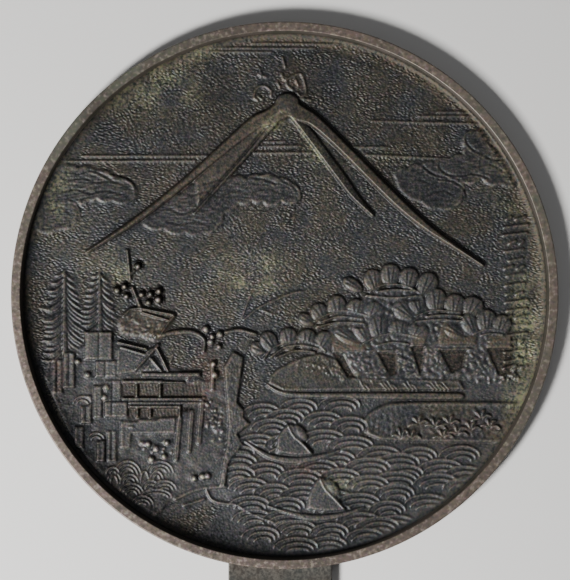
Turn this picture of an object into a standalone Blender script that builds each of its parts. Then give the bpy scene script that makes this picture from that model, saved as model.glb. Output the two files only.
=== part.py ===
"""Cast bronze hand mirror with a landscape in relief on its back, lying on its polished face.

Metres, +Z up. The origin is the centre of the disc on the polished face. The handle points to -Y.
Places in the picture are in thousandths of the disc's radius, so the picture keeps its share of the disc.
"""
import math

import bpy
import bmesh

# Driving sizes of the casting
DISC_DIAMETER = 0.182
PLATE_THICKNESS = 0.0021
RIM_HEIGHT = 0.0055
RIM_WIDTH = 0.0031
RIM_EDGE = 0.0003
RIM_WALL_LEAN = 0.0006
COVE_WIDTH = 0.0048
COVE_HEIGHT = 0.0020
HANDLE_WIDTH = 0.0345
HANDLE_LENGTH = 0.0940
HANDLE_THICKNESS = 0.0033
HANDLE_OFFSET = -0.0015
HANDLE_CORNER = 0.0030
DISC_SEGMENTS = 96
COVE_STEPS = 3
CORNER_STEPS = 4
FLAT_ANGLE = math.radians(0.2)

# How far each form stands above the ground of the relief
SLOPE_RISE = 0.0015
PEAK_RISE = 0.0017
CLOUD_RISE = 0.0005
HAZE_RISE = 0.00035
PINE_LOBE_RISE = 0.0014
PINE_FLOOR_RISE = 0.0011
TRUNK_RISE = 0.0009
SHORE_RISE = 0.0006
LAND_RISE = 0.0004
BLOCK_RISE = 0.0010
BEAM_RISE = 0.0013
ROOF_RISE = 0.0014
CEDAR_RISE = 0.0008
BLOSSOM_RISE = 0.0013
BOAT_RISE = 0.0012
WAVE_RISE = 0.0005
STROKE_RISE = 0.0004

DISC_RADIUS = DISC_DIAMETER / 2
RIM_INNER_RADIUS = DISC_RADIUS - RIM_WIDTH
COVE_RADIUS = RIM_INNER_RADIUS - RIM_WALL_LEAN
GROUND_RADIUS = COVE_RADIUS - COVE_WIDTH
ROOT_DEPTH = PLATE_THICKNESS / 2

BRONZE = (0.050, 0.043, 0.036, 1.0)
BRONZE_ROUGHNESS = 0.45

# The picture follows, in shares of the disc's radius: thousandths across and up from its centre

# Points down each slope as (across, up, width), and the peak as an oval
MOUNTAIN = {
    "left_slope": [(10, 690, 70), (-55, 652, 58), (-105, 632, 50), (-200, 556, 38), (-350, 427, 25),
                   (-530, 285, 20), (-722, 160, 7)],
    "right_slope": [(10, 690, 70), (60, 664, 56), (110, 638, 44), (205, 551, 36), (400, 356, 35),
                    (511, 258, 26), (605, 191, 16), (726, 110, 9)],
    "inner_left_slope": [(-40, 632, 30), (-75, 588, 18), (-163, 487, 12), (-330, 301, 8)],
    "inner_right_slope": [(30, 670, 40), (75, 612, 34), (210, 430, 33), (257, 366, 27), (324, 293, 9)],
}
PEAK = (10, 698, 47, 44)

# Cusps between the bumps of each cloud
CLOUDS = {
    "left_cloud": [(-838, 468), (-757, 468), (-690, 458), (-618, 432), (-545, 352), (-689, 352),
                   (-778, 338), (-790, 250), (-850, 238), (-915, 240)],
    "middle_cloud": [(-521, 262), (-443, 242), (-364, 238), (-285, 246), (-222, 322), (-150, 330),
                     (-88, 338), (-12, 338), (60, 358), (38, 408), (-12, 420), (-62, 434), (-138, 430),
                     (-205, 430), (-380, 380)],
    "right_cloud": [(432, 425), (468, 472), (522, 474), (598, 498), (668, 512), (655, 585), (745, 620),
                    (880, 470), (866, 408), (775, 410), (718, 428), (652, 408), (650, 340), (575, 318),
                    (505, 330)],
}
CLOUD = {"bulge": 0.2}

# Thin bars of haze, each from one end to the other
HAZE = {
    "width": 9,
    "bars": [(-60, 928, 180, 926), (-270, 909, 130, 907), (-740, 511, -290, 512), (-790, 492, -320, 496),
             (-92, 545, 55, 546), (-106, 522, 98, 522), (480, 654, 690, 654), (310, 632, 716, 626),
             (262, 541, 400, 540), (292, 514, 600, 500)],
}

# Each pine is a flat arch of needles as (across, up, half width), with a fan of lobes above it.
# A lobe is (side and lift as shares of the arch's half width, half width, half height, turn).
PINES = {
    "floors": [(30, -186, 92), (205, -80, 98), (405, 16, 92), (385, -160, 92), (568, -66, 90),
               (742, -138, 84)],
    "floor_drop": 22,
    "floor_height": 46,
    "floor_band": 37,
    "lobes": [(-1.42, 0.10, 34, 58, 52), (-0.80, 0.46, 33, 48, 36), (-0.10, 0.70, 33, 48, 0),
              (0.62, 0.60, 32, 45, -18), (1.24, 0.34, 34, 46, -40)],
    "lobe_sides": 8,
    "trunks": [(182, -205, 238, -305, 46), (350, -205, 398, -315, 52), (478, -185, 512, -300, 44),
               (585, -170, 620, -310, 50), (740, -175, 790, -310, 52)],
}

SHORES = {
    "hill": [(-60, -322), (-45, -287), (15, -246), (110, -214), (190, -232), (262, -300), (640, -308),
             (640, -350), (0, -350)],
    "beach": [(-64, -326, 7), (-20, -352, 12), (60, -364, 16), (300, -367, 22), (610, -369, 24),
              (650, -369, 9)],
    "island": [(284, -468), (302, -430), (350, -403), (430, -391), (640, -388), (880, -400), (830, -536),
               (420, -533), (345, -522), (300, -500)],
    "land": [(-292, -314), (-150, -300), (-178, -392), (-138, -436), (-130, -470), (-185, -512),
             (-152, -546), (-205, -600), (-218, -700), (-290, -706), (-420, -750), (-480, -830),
             (-640, -720), (-790, -500), (-880, -300), (-860, -215), (-640, -158)],
    "post": [(-222, -262), (-188, -205), (-148, -226), (-160, -300), (-178, -392), (-212, -400)],
}

# Rock pillars, beams and posts as (left, right, top, bottom)
TEMPLE = {
    "blocks": [(-732, -630, -134, -240), (-692, -616, -238, -318), (-850, -808, -232, -330),
               (-812, -762, -216, -336), (-696, -668, -332, -450), (-628, -596, -318, -388),
               (-660, -574, -388, -446), (-748, -694, -366, -455), (-650, -606, -488, -600),
               (-692, -650, -526, -610), (-596, -490, -450, -500), (-490, -382, -447, -504)],
    "beams": [(-538, -312, -283, -295), (-594, -372, -312, -326), (-594, -302, -374, -388),
              (-574, -386, -402, -414), (-548, -530, -326, -374), (-464, -450, -326, -374),
              (-380, -366, -425, -596), (-344, -333, -420, -545), (-309, -299, -388, -535)],
    "gable": [(-612, -182), (-502, -210), (-460, -178), (-424, -280), (-540, -288), (-612, -300)],
    "thatch": [(-618, -98), (-570, -58), (-520, -50), (-404, -70), (-432, -125), (-478, -170),
               (-596, -152)],
}
BRANCHES = {
    "left_branch": [(-455, -150, 10), (-415, -136, 18), (-345, -134, 20), (-290, -160, 13)],
    "right_branch": [(-212, -134, 10), (-160, -127, 17), (-95, -152, 10)],
    "plum_trunk": [(-562, 34, 10), (-527, -52, 14)],
    "plum_shoot": [(-573, 158, 9), (-570, 66, 12)],
}
BLOSSOMS = {
    "radius": 13,
    "sides": 6,
    "spots": [(-612, 15), (-586, 36), (-578, -6), (-525, 5), (-490, 6), (-460, 20), (-500, -27), (-463, -17),
              (-288, -124), (-258, -116), (-236, -142), (-272, -162), (-240, -184), (-260, -250),
              (-256, -290), (-590, -512), (-602, -562), (-210, -592)],
}

# Each cedar as (across, foot, top), with drooping fronds on both sides
CEDARS = {
    "trees": [(-806, -205, 85), (-680, -132, 75)],
    "trunk_width": 12,
    "frond_step": 24,
    "frond_reach": 58,
    "frond_width": 9,
    "crown": 110,
}
# Each bush as (across, up, radius), a pair of arches with the inner one a share of the outer
BUSHES = {
    "spots": [(-572, -655, 50), (-462, -655, 50), (-545, -725, 46), (-436, -725, 46)],
    "shares": (1.0, 0.55),
    "band": 14,
}
# Each boat as (across, top, half width, height) of its straw shelter; the reaches are shares of these
BOATS = {
    "shelters": [(34, -466, 72, 118), (158, -672, 84, 122)],
    "hull_width": 20,
    "left_reach": 1.6,
    "right_reach": 1.7,
    "down_reach": 1.4,
    "top_gap": 10,
}
# Signature column: rows of short leaning strokes
SIGNATURE = {"left": 806, "right": 888, "top": 286, "bottom": -265, "rows": 19, "lean": 10, "width": 8,
             "gap": 17}
# Sea of overlapping waves, each an arch with a lower one inside it
SEA = {
    "rows": 12,
    "top": -392,
    "row_step": 44,
    "spacing": 128,
    "half": 60,
    "height": 40,
    "band": 12,
    "inner_share": 0.5,
    "steps": 4,
    "edge": 895,
}


def clear_scene():
    for old in list(bpy.data.objects):
        bpy.data.objects.remove(old)


def spot(across, up):
    """A place in the picture, in metres from the disc's centre."""
    return across * DISC_RADIUS / 1000, up * DISC_RADIUS / 1000


def new_collection(name):
    made = bpy.data.collections.new(name)
    bpy.context.scene.collection.children.link(made)
    return made


def bronze():
    made = bpy.data.materials.new("patinated_bronze")
    made.use_nodes = True
    shader = made.node_tree.nodes["Principled BSDF"]
    shader.inputs["Base Color"].default_value = BRONZE
    shader.inputs["Roughness"].default_value = BRONZE_ROUGHNESS
    shader.inputs["Metallic"].default_value = 0.6
    return made


def as_helper(obj):
    obj.hide_render = True
    obj.display_type = "WIRE"


def flat_curve(name, outline, low, high):
    """A closed outline in metres, extruded from low to high."""
    curve = bpy.data.curves.new(name, "CURVE")
    curve.dimensions = "2D"
    curve.fill_mode = "BOTH"
    curve.extrude = (high - low) / 2
    spline = curve.splines.new("POLY")
    spline.points.add(len(outline) - 1)
    for point, (x, y) in zip(spline.points, outline):
        point.co = (x, y, 0, 1)
    spline.use_cyclic_u = True
    obj = bpy.data.objects.new(name, curve)
    obj.location.z = (low + high) / 2
    return obj


def solids_of(name, outlines, low, high, home):
    """One mesh object with a prism for each outline."""
    curves = [flat_curve(name, outline, low, high) for outline in outlines]
    for curve in curves:
        bpy.context.scene.collection.objects.link(curve)
    graph = bpy.context.evaluated_depsgraph_get()
    joined = bmesh.new()
    for curve in curves:
        prism = bpy.data.meshes.new_from_object(curve.evaluated_get(graph))
        prism.transform(curve.matrix_world)
        single = bmesh.new()
        single.from_mesh(prism)
        bmesh.ops.remove_doubles(single, verts=single.verts, dist=1e-6)
        single.to_mesh(prism)
        single.free()
        joined.from_mesh(prism)
        bpy.data.meshes.remove(prism)
    for curve in curves:
        bpy.data.objects.remove(curve)
    mesh = bpy.data.meshes.new(name)
    joined.to_mesh(mesh)
    joined.free()
    obj = bpy.data.objects.new(name, mesh)
    home.objects.link(obj)
    return obj


def through(points, steps):
    """Points along a smooth line through the given ones, whose every value is carried along."""
    ends = [points[0]] + list(points) + [points[-1]]
    line = []
    for before, start, end, after in zip(ends, ends[1:], ends[2:], ends[3:]):
        for step in range(steps):
            t = step / steps
            line.append([
                0.5 * (2 * b + (c - a) * t + (2 * a - 5 * b + 4 * c - d) * t ** 2
                       + (3 * b - a - 3 * c + d) * t ** 3)
                for a, b, c, d in zip(before, start, end, after)
            ])
    return line + [list(points[-1])]


def ribbon(points, steps=1):
    """The outline of a line whose points are (across, up, width)."""
    line = through(points, steps)
    left, right = [], []
    for i, (across, up, width) in enumerate(line):
        ahead = line[min(i + 1, len(line) - 1)]
        behind = line[max(i - 1, 0)]
        along = (ahead[0] - behind[0], ahead[1] - behind[1])
        length = math.hypot(*along)
        side = (-along[1] / length * width / 2, along[0] / length * width / 2)
        left.append((across + side[0], up + side[1]))
        right.append((across - side[0], up - side[1]))
    return left + right[::-1]


def bar(left, low, right, high, width):
    return ribbon([(left, low, width), (right, high, width)])


def box(left, right, top, bottom):
    return [(left, bottom), (right, bottom), (right, top), (left, top)]


def ellipse(across, up, half_width, half_height, sides, turn=0.0):
    turn = math.radians(turn)
    made = []
    for i in range(sides):
        angle = 2 * math.pi * (i + 0.5) / sides
        x = half_width * math.cos(angle)
        y = half_height * math.sin(angle)
        made.append((across + x * math.cos(turn) - y * math.sin(turn),
                     up + x * math.sin(turn) + y * math.cos(turn)))
    return made


def scalloped(cusps, bulge, steps=3):
    """An outline whose every stretch between two cusps swells outwards."""
    area = sum(a[0] * b[1] - b[0] * a[1] for a, b in zip(cusps, cusps[1:] + cusps[:1]))
    outward = -1 if area > 0 else 1
    made = []
    for a, b in zip(cusps, cusps[1:] + cusps[:1]):
        along = (b[0] - a[0], b[1] - a[1])
        for step in range(steps):
            t = step / steps
            swell = outward * bulge * math.sin(math.pi * t)
            made.append((a[0] + along[0] * t - along[1] * swell, a[1] + along[1] * t + along[0] * swell))
    return made


def arch(across, foot, half, height, band, steps):
    """A crescent that stands on its two thin ends."""
    outer, inner = [], []
    for step in range(steps + 1):
        angle = math.pi * step / steps
        x = across + half * math.cos(angle)
        outer.append((x, foot + height * math.sin(angle)))
        if 0 < step < steps:
            inner.append((x, foot + (height - band) * math.sin(angle)))
    return outer + inner[::-1]


def under_rim(point):
    """The point, drawn in to the middle of the rim if it lies further out."""
    reach = math.hypot(*point)
    limit = DISC_RADIUS - RIM_WIDTH / 2
    share = min(1.0, limit / reach) if reach else 1.0
    return point[0] * share, point[1] * share


def raise_forms(name, outlines, rise, home):
    """Prisms rooted in the plate that stand a given rise above the ground of the relief."""
    in_metres = [[under_rim(spot(*point)) for point in outline] for outline in outlines]
    obj = solids_of(name, in_metres, PLATE_THICKNESS - ROOT_DEPTH, PLATE_THICKNESS + rise, home)
    as_helper(obj)
    return obj


def turned(name, profile, home):
    """A closed solid turned from a profile that runs from its underside round to its top."""
    shape = bmesh.new()
    rings = []
    for radius, z in profile:
        ring = []
        for step in range(DISC_SEGMENTS):
            angle = 2 * math.pi * step / DISC_SEGMENTS
            ring.append(shape.verts.new((radius * math.cos(angle), radius * math.sin(angle), z)))
        rings.append(ring)
    for lower, upper in zip(rings, rings[1:]):
        for i in range(DISC_SEGMENTS):
            j = (i + 1) % DISC_SEGMENTS
            shape.faces.new((lower[i], lower[j], upper[j], upper[i]))
    shape.faces.new(rings[0][::-1])
    shape.faces.new(rings[-1])
    mesh = bpy.data.meshes.new(name)
    shape.to_mesh(mesh)
    shape.free()
    obj = bpy.data.objects.new(name, mesh)
    home.objects.link(obj)
    return obj


def disc(home):
    """The plate, its cove and its rim, turned about the disc's axis."""
    outer = [(DISC_RADIUS - RIM_EDGE, 0.0), (DISC_RADIUS, RIM_EDGE),
             (DISC_RADIUS, RIM_HEIGHT - RIM_EDGE), (DISC_RADIUS - RIM_EDGE, RIM_HEIGHT),
             (RIM_INNER_RADIUS, RIM_HEIGHT)]
    cove = []
    for step in range(COVE_STEPS + 1):
        angle = math.pi / 2 * step / COVE_STEPS
        cove.append((GROUND_RADIUS + COVE_WIDTH * math.sin(angle),
                     PLATE_THICKNESS + COVE_HEIGHT * (1 - math.cos(angle))))
    return turned("mirror", outer + [(r, z) for r, z in cove[::-1]], home)


def handle(home):
    """The flat grip, cast in one with the disc and rooted under its rim."""
    left = HANDLE_OFFSET - HANDLE_WIDTH / 2
    right = HANDLE_OFFSET + HANDLE_WIDTH / 2
    end = -DISC_RADIUS - HANDLE_LENGTH
    root = -math.sqrt(DISC_RADIUS ** 2 - max(abs(left), abs(right)) ** 2) + RIM_WIDTH / 2
    outline = [(right, root), (left, root)]
    for centre_x, start in ((left + HANDLE_CORNER, -math.pi), (right - HANDLE_CORNER, -math.pi / 2)):
        for step in range(CORNER_STEPS + 1):
            angle = start + math.pi / 2 * step / CORNER_STEPS
            outline.append((centre_x + HANDLE_CORNER * math.cos(angle),
                            end + HANDLE_CORNER + HANDLE_CORNER * math.sin(angle)))
    obj = solids_of("handle", [outline], 0.0, HANDLE_THICKNESS, home)
    as_helper(obj)
    return obj


def pine_forms(home):
    lobes, floors = [], []
    for across, up, half in PINES["floors"]:
        for side, lift, half_width, half_height, turn in PINES["lobes"]:
            lobes.append(ellipse(across + side * half, up + lift * half, half_width, half_height,
                                 PINES["lobe_sides"], turn))
        floors.append(arch(across, up - PINES["floor_drop"], half, PINES["floor_height"],
                           PINES["floor_band"], 6))
    raise_forms("pine_lobes", lobes, PINE_LOBE_RISE, home)
    raise_forms("pine_floors", floors, PINE_FLOOR_RISE, home)
    trunks = [bar(a, b, c, d, width) for a, b, c, d, width in PINES["trunks"]]
    raise_forms("pine_trunks", trunks, TRUNK_RISE, home)


def cedar_forms(home):
    trunks, fronds = [], []
    width = CEDARS["frond_width"]
    for across, foot, top in CEDARS["trees"]:
        trunks.append(bar(across, foot, across, top, CEDARS["trunk_width"]))
        for i in range(int((top - foot) / CEDARS["frond_step"])):
            up = foot + CEDARS["frond_step"] * (i + 0.7)
            reach = CEDARS["frond_reach"] * min(1.0, (top - up) / CEDARS["crown"] + 0.25)
            for side in (-1, 1):
                fronds.append(ribbon([(across, up + width * 0.9, width),
                                      (across + side * reach * 0.45, up - reach * 0.42, width),
                                      (across + side * reach, up - reach * 0.55, width * 0.5)]))
    raise_forms("cedar_trunks", trunks, CEDAR_RISE * 1.1, home)
    raise_forms("cedar_fronds", fronds, CEDAR_RISE * 0.8, home)


def temple_forms(home):
    raise_forms("land", [SHORES["land"]], LAND_RISE, home)
    raise_forms("post", [SHORES["post"]], BLOCK_RISE * 0.9, home)
    for i, block in enumerate(TEMPLE["blocks"]):
        raise_forms(f"block_{i + 1}", [box(*block)], BLOCK_RISE * (1 - 0.1 * (i % 3)), home)
    raise_forms("beams", [box(*beam) for beam in TEMPLE["beams"]], BEAM_RISE, home)
    raise_forms("gable", [TEMPLE["gable"]], ROOF_RISE, home)
    raise_forms("thatch", [TEMPLE["thatch"]], ROOF_RISE * 0.9, home)


def garden_forms(home):
    raise_forms("branches", [ribbon(line) for line in BRANCHES.values()], TRUNK_RISE, home)
    radius = BLOSSOMS["radius"]
    raise_forms("blossoms", [ellipse(a, b, radius, radius, BLOSSOMS["sides"]) for a, b in BLOSSOMS["spots"]],
                BLOSSOM_RISE, home)
    bushes = []
    for across, up, radius in BUSHES["spots"]:
        for share in BUSHES["shares"]:
            bushes.append(arch(across, up - radius / 2, radius * share, radius * share, BUSHES["band"], 5))
    raise_forms("bushes", bushes, SHORE_RISE * 1.2, home)


def boat_forms(home):
    shelters, hulls = [], []
    width = BOATS["hull_width"]
    for across, top, half, height in BOATS["shelters"]:
        shelters.append([(across - half * 0.9, top - height), (across - half * 0.55, top - height * 0.4),
                         (across - half * 0.2, top), (across + half * 0.35, top - height * 0.12),
                         (across + half, top - height * 0.95)])
        hulls.append(ribbon([(across - half * 1.5, top - height * 1.12, width / 2),
                             (across, top - height * 1.26, width),
                             (across + half * 1.6, top - height * 1.08, width / 2)]))
    raise_forms("boats", shelters, BOAT_RISE, home)
    raise_forms("hulls", hulls, WAVE_RISE * 1.6, home)


def signature_forms(home):
    s = SIGNATURE
    rows = []
    for row in range(s["rows"]):
        up = s["top"] + (s["bottom"] - s["top"]) * row / (s["rows"] - 1)
        low, high = up - s["lean"] / 2, up + s["lean"] / 2
        middle = s["left"] + (s["right"] - s["left"]) * (0.38 + 0.08 * (row % 4))
        rows.append(bar(s["left"], low, middle - s["gap"] / 2, high, s["width"]))
        rows.append(bar(middle + s["gap"] / 2, low, s["right"], high, s["width"]))
    raise_forms("signature_strokes", rows, STROKE_RISE, home)


def inside(point, outline):
    """Whether a point lies inside a closed outline."""
    x, y = point
    found = False
    for (ax, ay), (bx, by) in zip(outline, outline[1:] + outline[:1]):
        if (ay > y) != (by > y) and x < (bx - ax) * (y - ay) / (by - ay) + ax:
            found = not found
    return found


def boat_outlines():
    """The ground that each boat covers, a little wider than the boat."""
    b = BOATS
    return [box(across - half * b["left_reach"], across + half * b["right_reach"], top + b["top_gap"],
                top - height * b["down_reach"])
            for across, top, half, height in b["shelters"]]


def wave_outlines():
    """Each wave that isn't hidden by land, island, boat or rim."""
    found = []
    hidden_by = [SHORES["land"], SHORES["island"], SHORES["post"]] + boat_outlines()
    for row in range(SEA["rows"]):
        foot = SEA["top"] - SEA["row_step"] * row - SEA["height"]
        shift = SEA["spacing"] / 2 * (row % 2)
        for column in range(-1, 7):
            across = column * SEA["spacing"] + shift
            wave = arch(across, foot, SEA["half"], SEA["height"], SEA["band"], SEA["steps"])
            beyond_rim = any(math.hypot(*point) > SEA["edge"] for point in wave)
            if beyond_rim or any(inside(p, form) for p in wave for form in hidden_by):
                continue
            share = SEA["inner_share"]
            found.append(wave)
            found.append(arch(across, foot, SEA["half"] * share, SEA["height"] * share,
                              SEA["band"] * 0.8, SEA["steps"]))
    return found


def sea_forms(home):
    raise_forms("waves", wave_outlines(), WAVE_RISE, home)


def landscape(home):
    """Every form of the picture, as helpers that the casting is joined with."""
    for name, points in MOUNTAIN.items():
        raise_forms(name, [ribbon(points)], SLOPE_RISE, home)
    raise_forms("peak", [ellipse(*PEAK, 12)], PEAK_RISE, home)
    for name, cusps in CLOUDS.items():
        raise_forms(name, [scalloped(cusps, CLOUD["bulge"])], CLOUD_RISE, home)
    raise_forms("haze", [bar(*ends, HAZE["width"]) for ends in HAZE["bars"]], HAZE_RISE, home)
    raise_forms("hill", [SHORES["hill"]], SHORE_RISE, home)
    raise_forms("beach", [ribbon(SHORES["beach"])], SHORE_RISE * 1.3, home)
    raise_forms("island", [SHORES["island"]], SHORE_RISE * 0.9, home)
    pine_forms(home)
    cedar_forms(home)
    temple_forms(home)
    garden_forms(home)
    boat_forms(home)
    sea_forms(home)
    signature_forms(home)


def join(target, name, **operand):
    union = target.modifiers.new(name, "BOOLEAN")
    union.operation = "UNION"
    union.solver = "EXACT"
    union.use_self = True
    for key, value in operand.items():
        setattr(union, key, value)


def settle(obj):
    """Make the joined casting a plain mesh, with no needless edges across its flat faces."""
    graph = bpy.context.evaluated_depsgraph_get()
    joined = bpy.data.meshes.new_from_object(obj.evaluated_get(graph))
    shape = bmesh.new()
    shape.from_mesh(joined)
    bmesh.ops.dissolve_limit(shape, angle_limit=FLAT_ANGLE, verts=shape.verts, edges=shape.edges)
    shape.to_mesh(joined)
    shape.free()
    obj.modifiers.clear()
    obj.data = joined


def main():
    clear_scene()
    casting = new_collection("hand_mirror")
    helpers = new_collection("joined_forms")
    relief = new_collection("relief_forms")
    mirror = disc(casting)
    mirror.data.materials.append(bronze())
    join(mirror, "grip", object=handle(helpers))
    landscape(relief)
    join(mirror, "landscape", operand_type="COLLECTION", collection=relief)
    settle(mirror)


main()
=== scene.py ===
import math

import bpy
import numpy as np
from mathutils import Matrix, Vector


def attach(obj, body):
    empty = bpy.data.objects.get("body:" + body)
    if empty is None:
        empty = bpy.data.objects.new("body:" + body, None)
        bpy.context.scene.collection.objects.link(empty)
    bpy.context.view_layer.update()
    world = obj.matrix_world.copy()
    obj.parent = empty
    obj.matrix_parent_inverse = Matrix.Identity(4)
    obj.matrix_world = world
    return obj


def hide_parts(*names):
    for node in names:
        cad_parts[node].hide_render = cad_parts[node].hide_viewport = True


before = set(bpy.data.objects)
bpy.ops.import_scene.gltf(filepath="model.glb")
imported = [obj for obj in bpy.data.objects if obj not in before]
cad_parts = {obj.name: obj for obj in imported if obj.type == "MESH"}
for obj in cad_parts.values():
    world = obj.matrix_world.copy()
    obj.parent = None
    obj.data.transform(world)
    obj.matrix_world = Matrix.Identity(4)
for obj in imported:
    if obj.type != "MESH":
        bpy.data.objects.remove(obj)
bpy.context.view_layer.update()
bpy.ops.object.select_all(action="DESELECT")
print("frame loaded")

picture = {
    "radius": 0.091,  # of the disc, in metres
    "ground": 0.0021,  # height of the relief's ground
    "step": 1.5,  # fineness of the drawn relief, in thousandths of the radius
    "coveInner": 907.0,  # where the ground starts to rise to the rim
    "coveOuter": 959.0,
    "coveRise": 2.0,  # millimetres
    "softness": 2.3,  # blur of the cast forms, in thousandths
    "pebbleRise": 0.225,  # millimetres
    "pebbleSize": 10.5,  # thousandths
    "pebbleTurn": -14,  # degrees
    "grainSize": 8,
    "patchSize": 38,  # of the places where the pebbles are flatter
    "skinRise": 0.014,
    "skinSize": 12,
    "swellRise": 0.12,  # of the cast ground's slow waves
    "swellSize": 180,
}

unit = picture["radius"] / 1000
step = picture["step"]
cells = 2 * int(975 / step) + 1
middle = (cells - 1) / 2
line = (np.arange(cells) - middle) * step
across, upward = np.meshgrid(line, line)
height = np.zeros((cells, cells))  # millimetres above the ground
calm = np.zeros((cells, cells))  # where the ground has no pebbles
dirtAndShade = np.zeros((cells, cells))  # where soiling darkens the metal, and where shade and shadow are painted dark
brown = np.zeros((cells, cells))  # where the patina is brown
wearAndHighlight = np.zeros((cells, cells))  # where the metal is worn pale, and painted highlights on the lit lower left of knobs and cloud edges
greenish = np.zeros((cells, cells))  # verdigris along an edge


def windowAround(points, margin):
    spread = np.asarray([p[:2] for p in points], float)
    low = np.clip(((spread.min(0) - margin) / step + middle).astype(int), 0, cells - 2)
    high = np.clip(((spread.max(0) + margin) / step + middle).astype(int) + 2, 2, cells)
    return slice(low[1], high[1]), slice(low[0], high[0])


def curved(points, count=5):
    ends = [points[0]] + list(points) + [points[-1]]
    made = []
    for a, b, c, d in zip(ends, ends[1:], ends[2:], ends[3:]):
        for i in range(count):
            t = i / count
            made.append([0.5 * (2 * q + (r - p) * t + (2 * p - 5 * q + 4 * r - s) * t * t
                                + (3 * q - p - 3 * r + s) * t ** 3) for p, q, r, s in zip(a, b, c, d)])
    return made + [list(points[-1])]


def alongPath(points, area, width=None):
    u, v = across[area], upward[area]
    offset = np.full(u.shape, 1e6)  # distance outside the stroke's edge
    side = np.zeros(u.shape)  # -1 at its right edge, 1 at its left edge
    for a, b in zip(points, points[1:]):
        du, dv = b[0] - a[0], b[1] - a[1]
        length = math.hypot(du, dv) or 1e-6
        t = np.clip(((u - a[0]) * du + (v - a[1]) * dv) / length ** 2, 0, 1)
        gapU, gapV = u - a[0] - t * du, v - a[1] - t * dv
        half = width / 2 if width else (a[2] + t * (b[2] - a[2])) / 2
        away = np.hypot(gapU, gapV) - half
        closer = away < offset
        offset = np.where(closer, away, offset)
        lateral = (du * gapV - dv * gapU) / length / np.maximum(half, 0.1)
        side = np.where(closer, np.clip(lateral, -1, 1), side)
    return offset, side


def outsideOf(outline, area):
    u, v = across[area], upward[area]
    offset = np.full(u.shape, 1e6)
    inside = np.zeros(u.shape, bool)
    for a, b in zip(outline, outline[1:] + outline[:1]):
        du, dv = b[0] - a[0], b[1] - a[1]
        t = np.clip(((u - a[0]) * du + (v - a[1]) * dv) / max(du * du + dv * dv, 1e-9), 0, 1)
        offset = np.minimum(offset, np.hypot(u - a[0] - t * du, v - a[1] - t * dv))
        if a[1] != b[1]:
            inside ^= ((a[1] > v) != (b[1] > v)) & (u < du * (v - a[1]) / dv + a[0])
    return np.where(inside, -offset, offset)


def slope(offset, edge):
    t = np.clip(0.5 - offset / edge, 0, 1)
    return t * t * (3 - 2 * t)


def cut(area, offset, depth, soft):
    height[area] -= depth * np.exp(-(np.maximum(offset, 0) / soft) ** 2)


def stroke(points, top, width=None, edge=5.0, lean=0.0, bend=False, over=False):
    path = curved(points) if bend else points
    area = windowAround(path, 60 if width is None else width + 12)
    offset, side = alongPath(path, area, width)
    form = top * (1 + lean * side) * slope(offset, edge)
    height[area] = height[area] + form if over else np.maximum(height[area], form)


def groove(points, depth, width=3.0, bend=False):
    path = curved(points) if bend else points
    area = windowAround(path, width * 4)
    offset, side = alongPath(path, area, 0.01)
    cut(area, offset, depth, width)


def plateau(outline, top, edge=6.0, lip=0.0, lipWidth=7.0, over=False):
    area = windowAround(outline, 24)
    offset = outsideOf(outline, area)
    form = top * slope(offset, edge) + lip * np.exp(-((offset + lipWidth) / lipWidth * 1.6) ** 2)
    height[area] = height[area] + form if over else np.maximum(height[area], form)
    return area, offset


def clearAway(outline, level, edge=4.0):
    area = windowAround(outline, 14)
    keep = slope(outsideOf(outline, area), edge)
    height[area] = height[area] * (1 - keep) + np.minimum(height[area], level) * keep


def block(left, right, top, bottom):
    return [(left, bottom), (right, bottom), (right, top), (left, top)]


def oval(u, v, halfWidth, halfHeight, turn=0.0, count=20):
    c, s = math.cos(math.radians(turn)), math.sin(math.radians(turn))
    angles = [2 * math.pi * i / count for i in range(count)]
    return [(u + halfWidth * math.cos(a) * c - halfHeight * math.sin(a) * s,
             v + halfWidth * math.cos(a) * s + halfHeight * math.sin(a) * c) for a in angles]


def dome(u, v, halfWidth, halfHeight, top, turn=0.0, power=0.5):
    reach = max(halfWidth, halfHeight) + 6
    area = windowAround([(u - reach, v - reach), (u + reach, v + reach)], 2)
    c, s = math.cos(math.radians(turn)), math.sin(math.radians(turn))
    du, dv = across[area] - u, upward[area] - v
    share = ((du * c + dv * s) / halfWidth) ** 2 + ((dv * c - du * s) / halfHeight) ** 2
    height[area] = np.maximum(height[area], top * np.clip(1 - share, 0, 1) ** power)


def leaf(u, v, halfWidth, halfHeight, turn, top, vein=0.32):
    reach = max(halfWidth, halfHeight) * 1.3
    area = windowAround([(u - reach, v - reach), (u + reach, v + reach)], 2)
    c, s = math.cos(math.radians(turn)), math.sin(math.radians(turn))
    du, dv = across[area] - u, upward[area] - v
    y = (dv * c - du * s) / halfHeight
    x = (du * c + dv * s) / halfWidth / (1 + 0.12 * np.clip(y, -1, 1))  # broader towards its tip
    share = x * x + y * y
    gap = np.clip((1.25 - share) / 0.2, 0, 1)
    height[area] = height[area] * (1 - gap) + np.minimum(height[area], 0.55 * top) * gap
    form = top * np.clip(1 - share, 0, 1) ** 0.26 * (0.86 - 0.2 * x + 0.12 * y)
    for fold in (-0.28, 0.3):  # folds run from its foot and part towards its tip
        away = (x - fold * (0.7 + 0.5 * y)) * halfWidth
        ridge, furrow = np.exp(-((away + 3) / 3) ** 2), np.exp(-((away - 2) / 3) ** 2)
        form += vein * (ridge - furrow) * np.clip(1 - share, 0, 0.5)
    height[area] = np.maximum(height[area], form)


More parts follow.
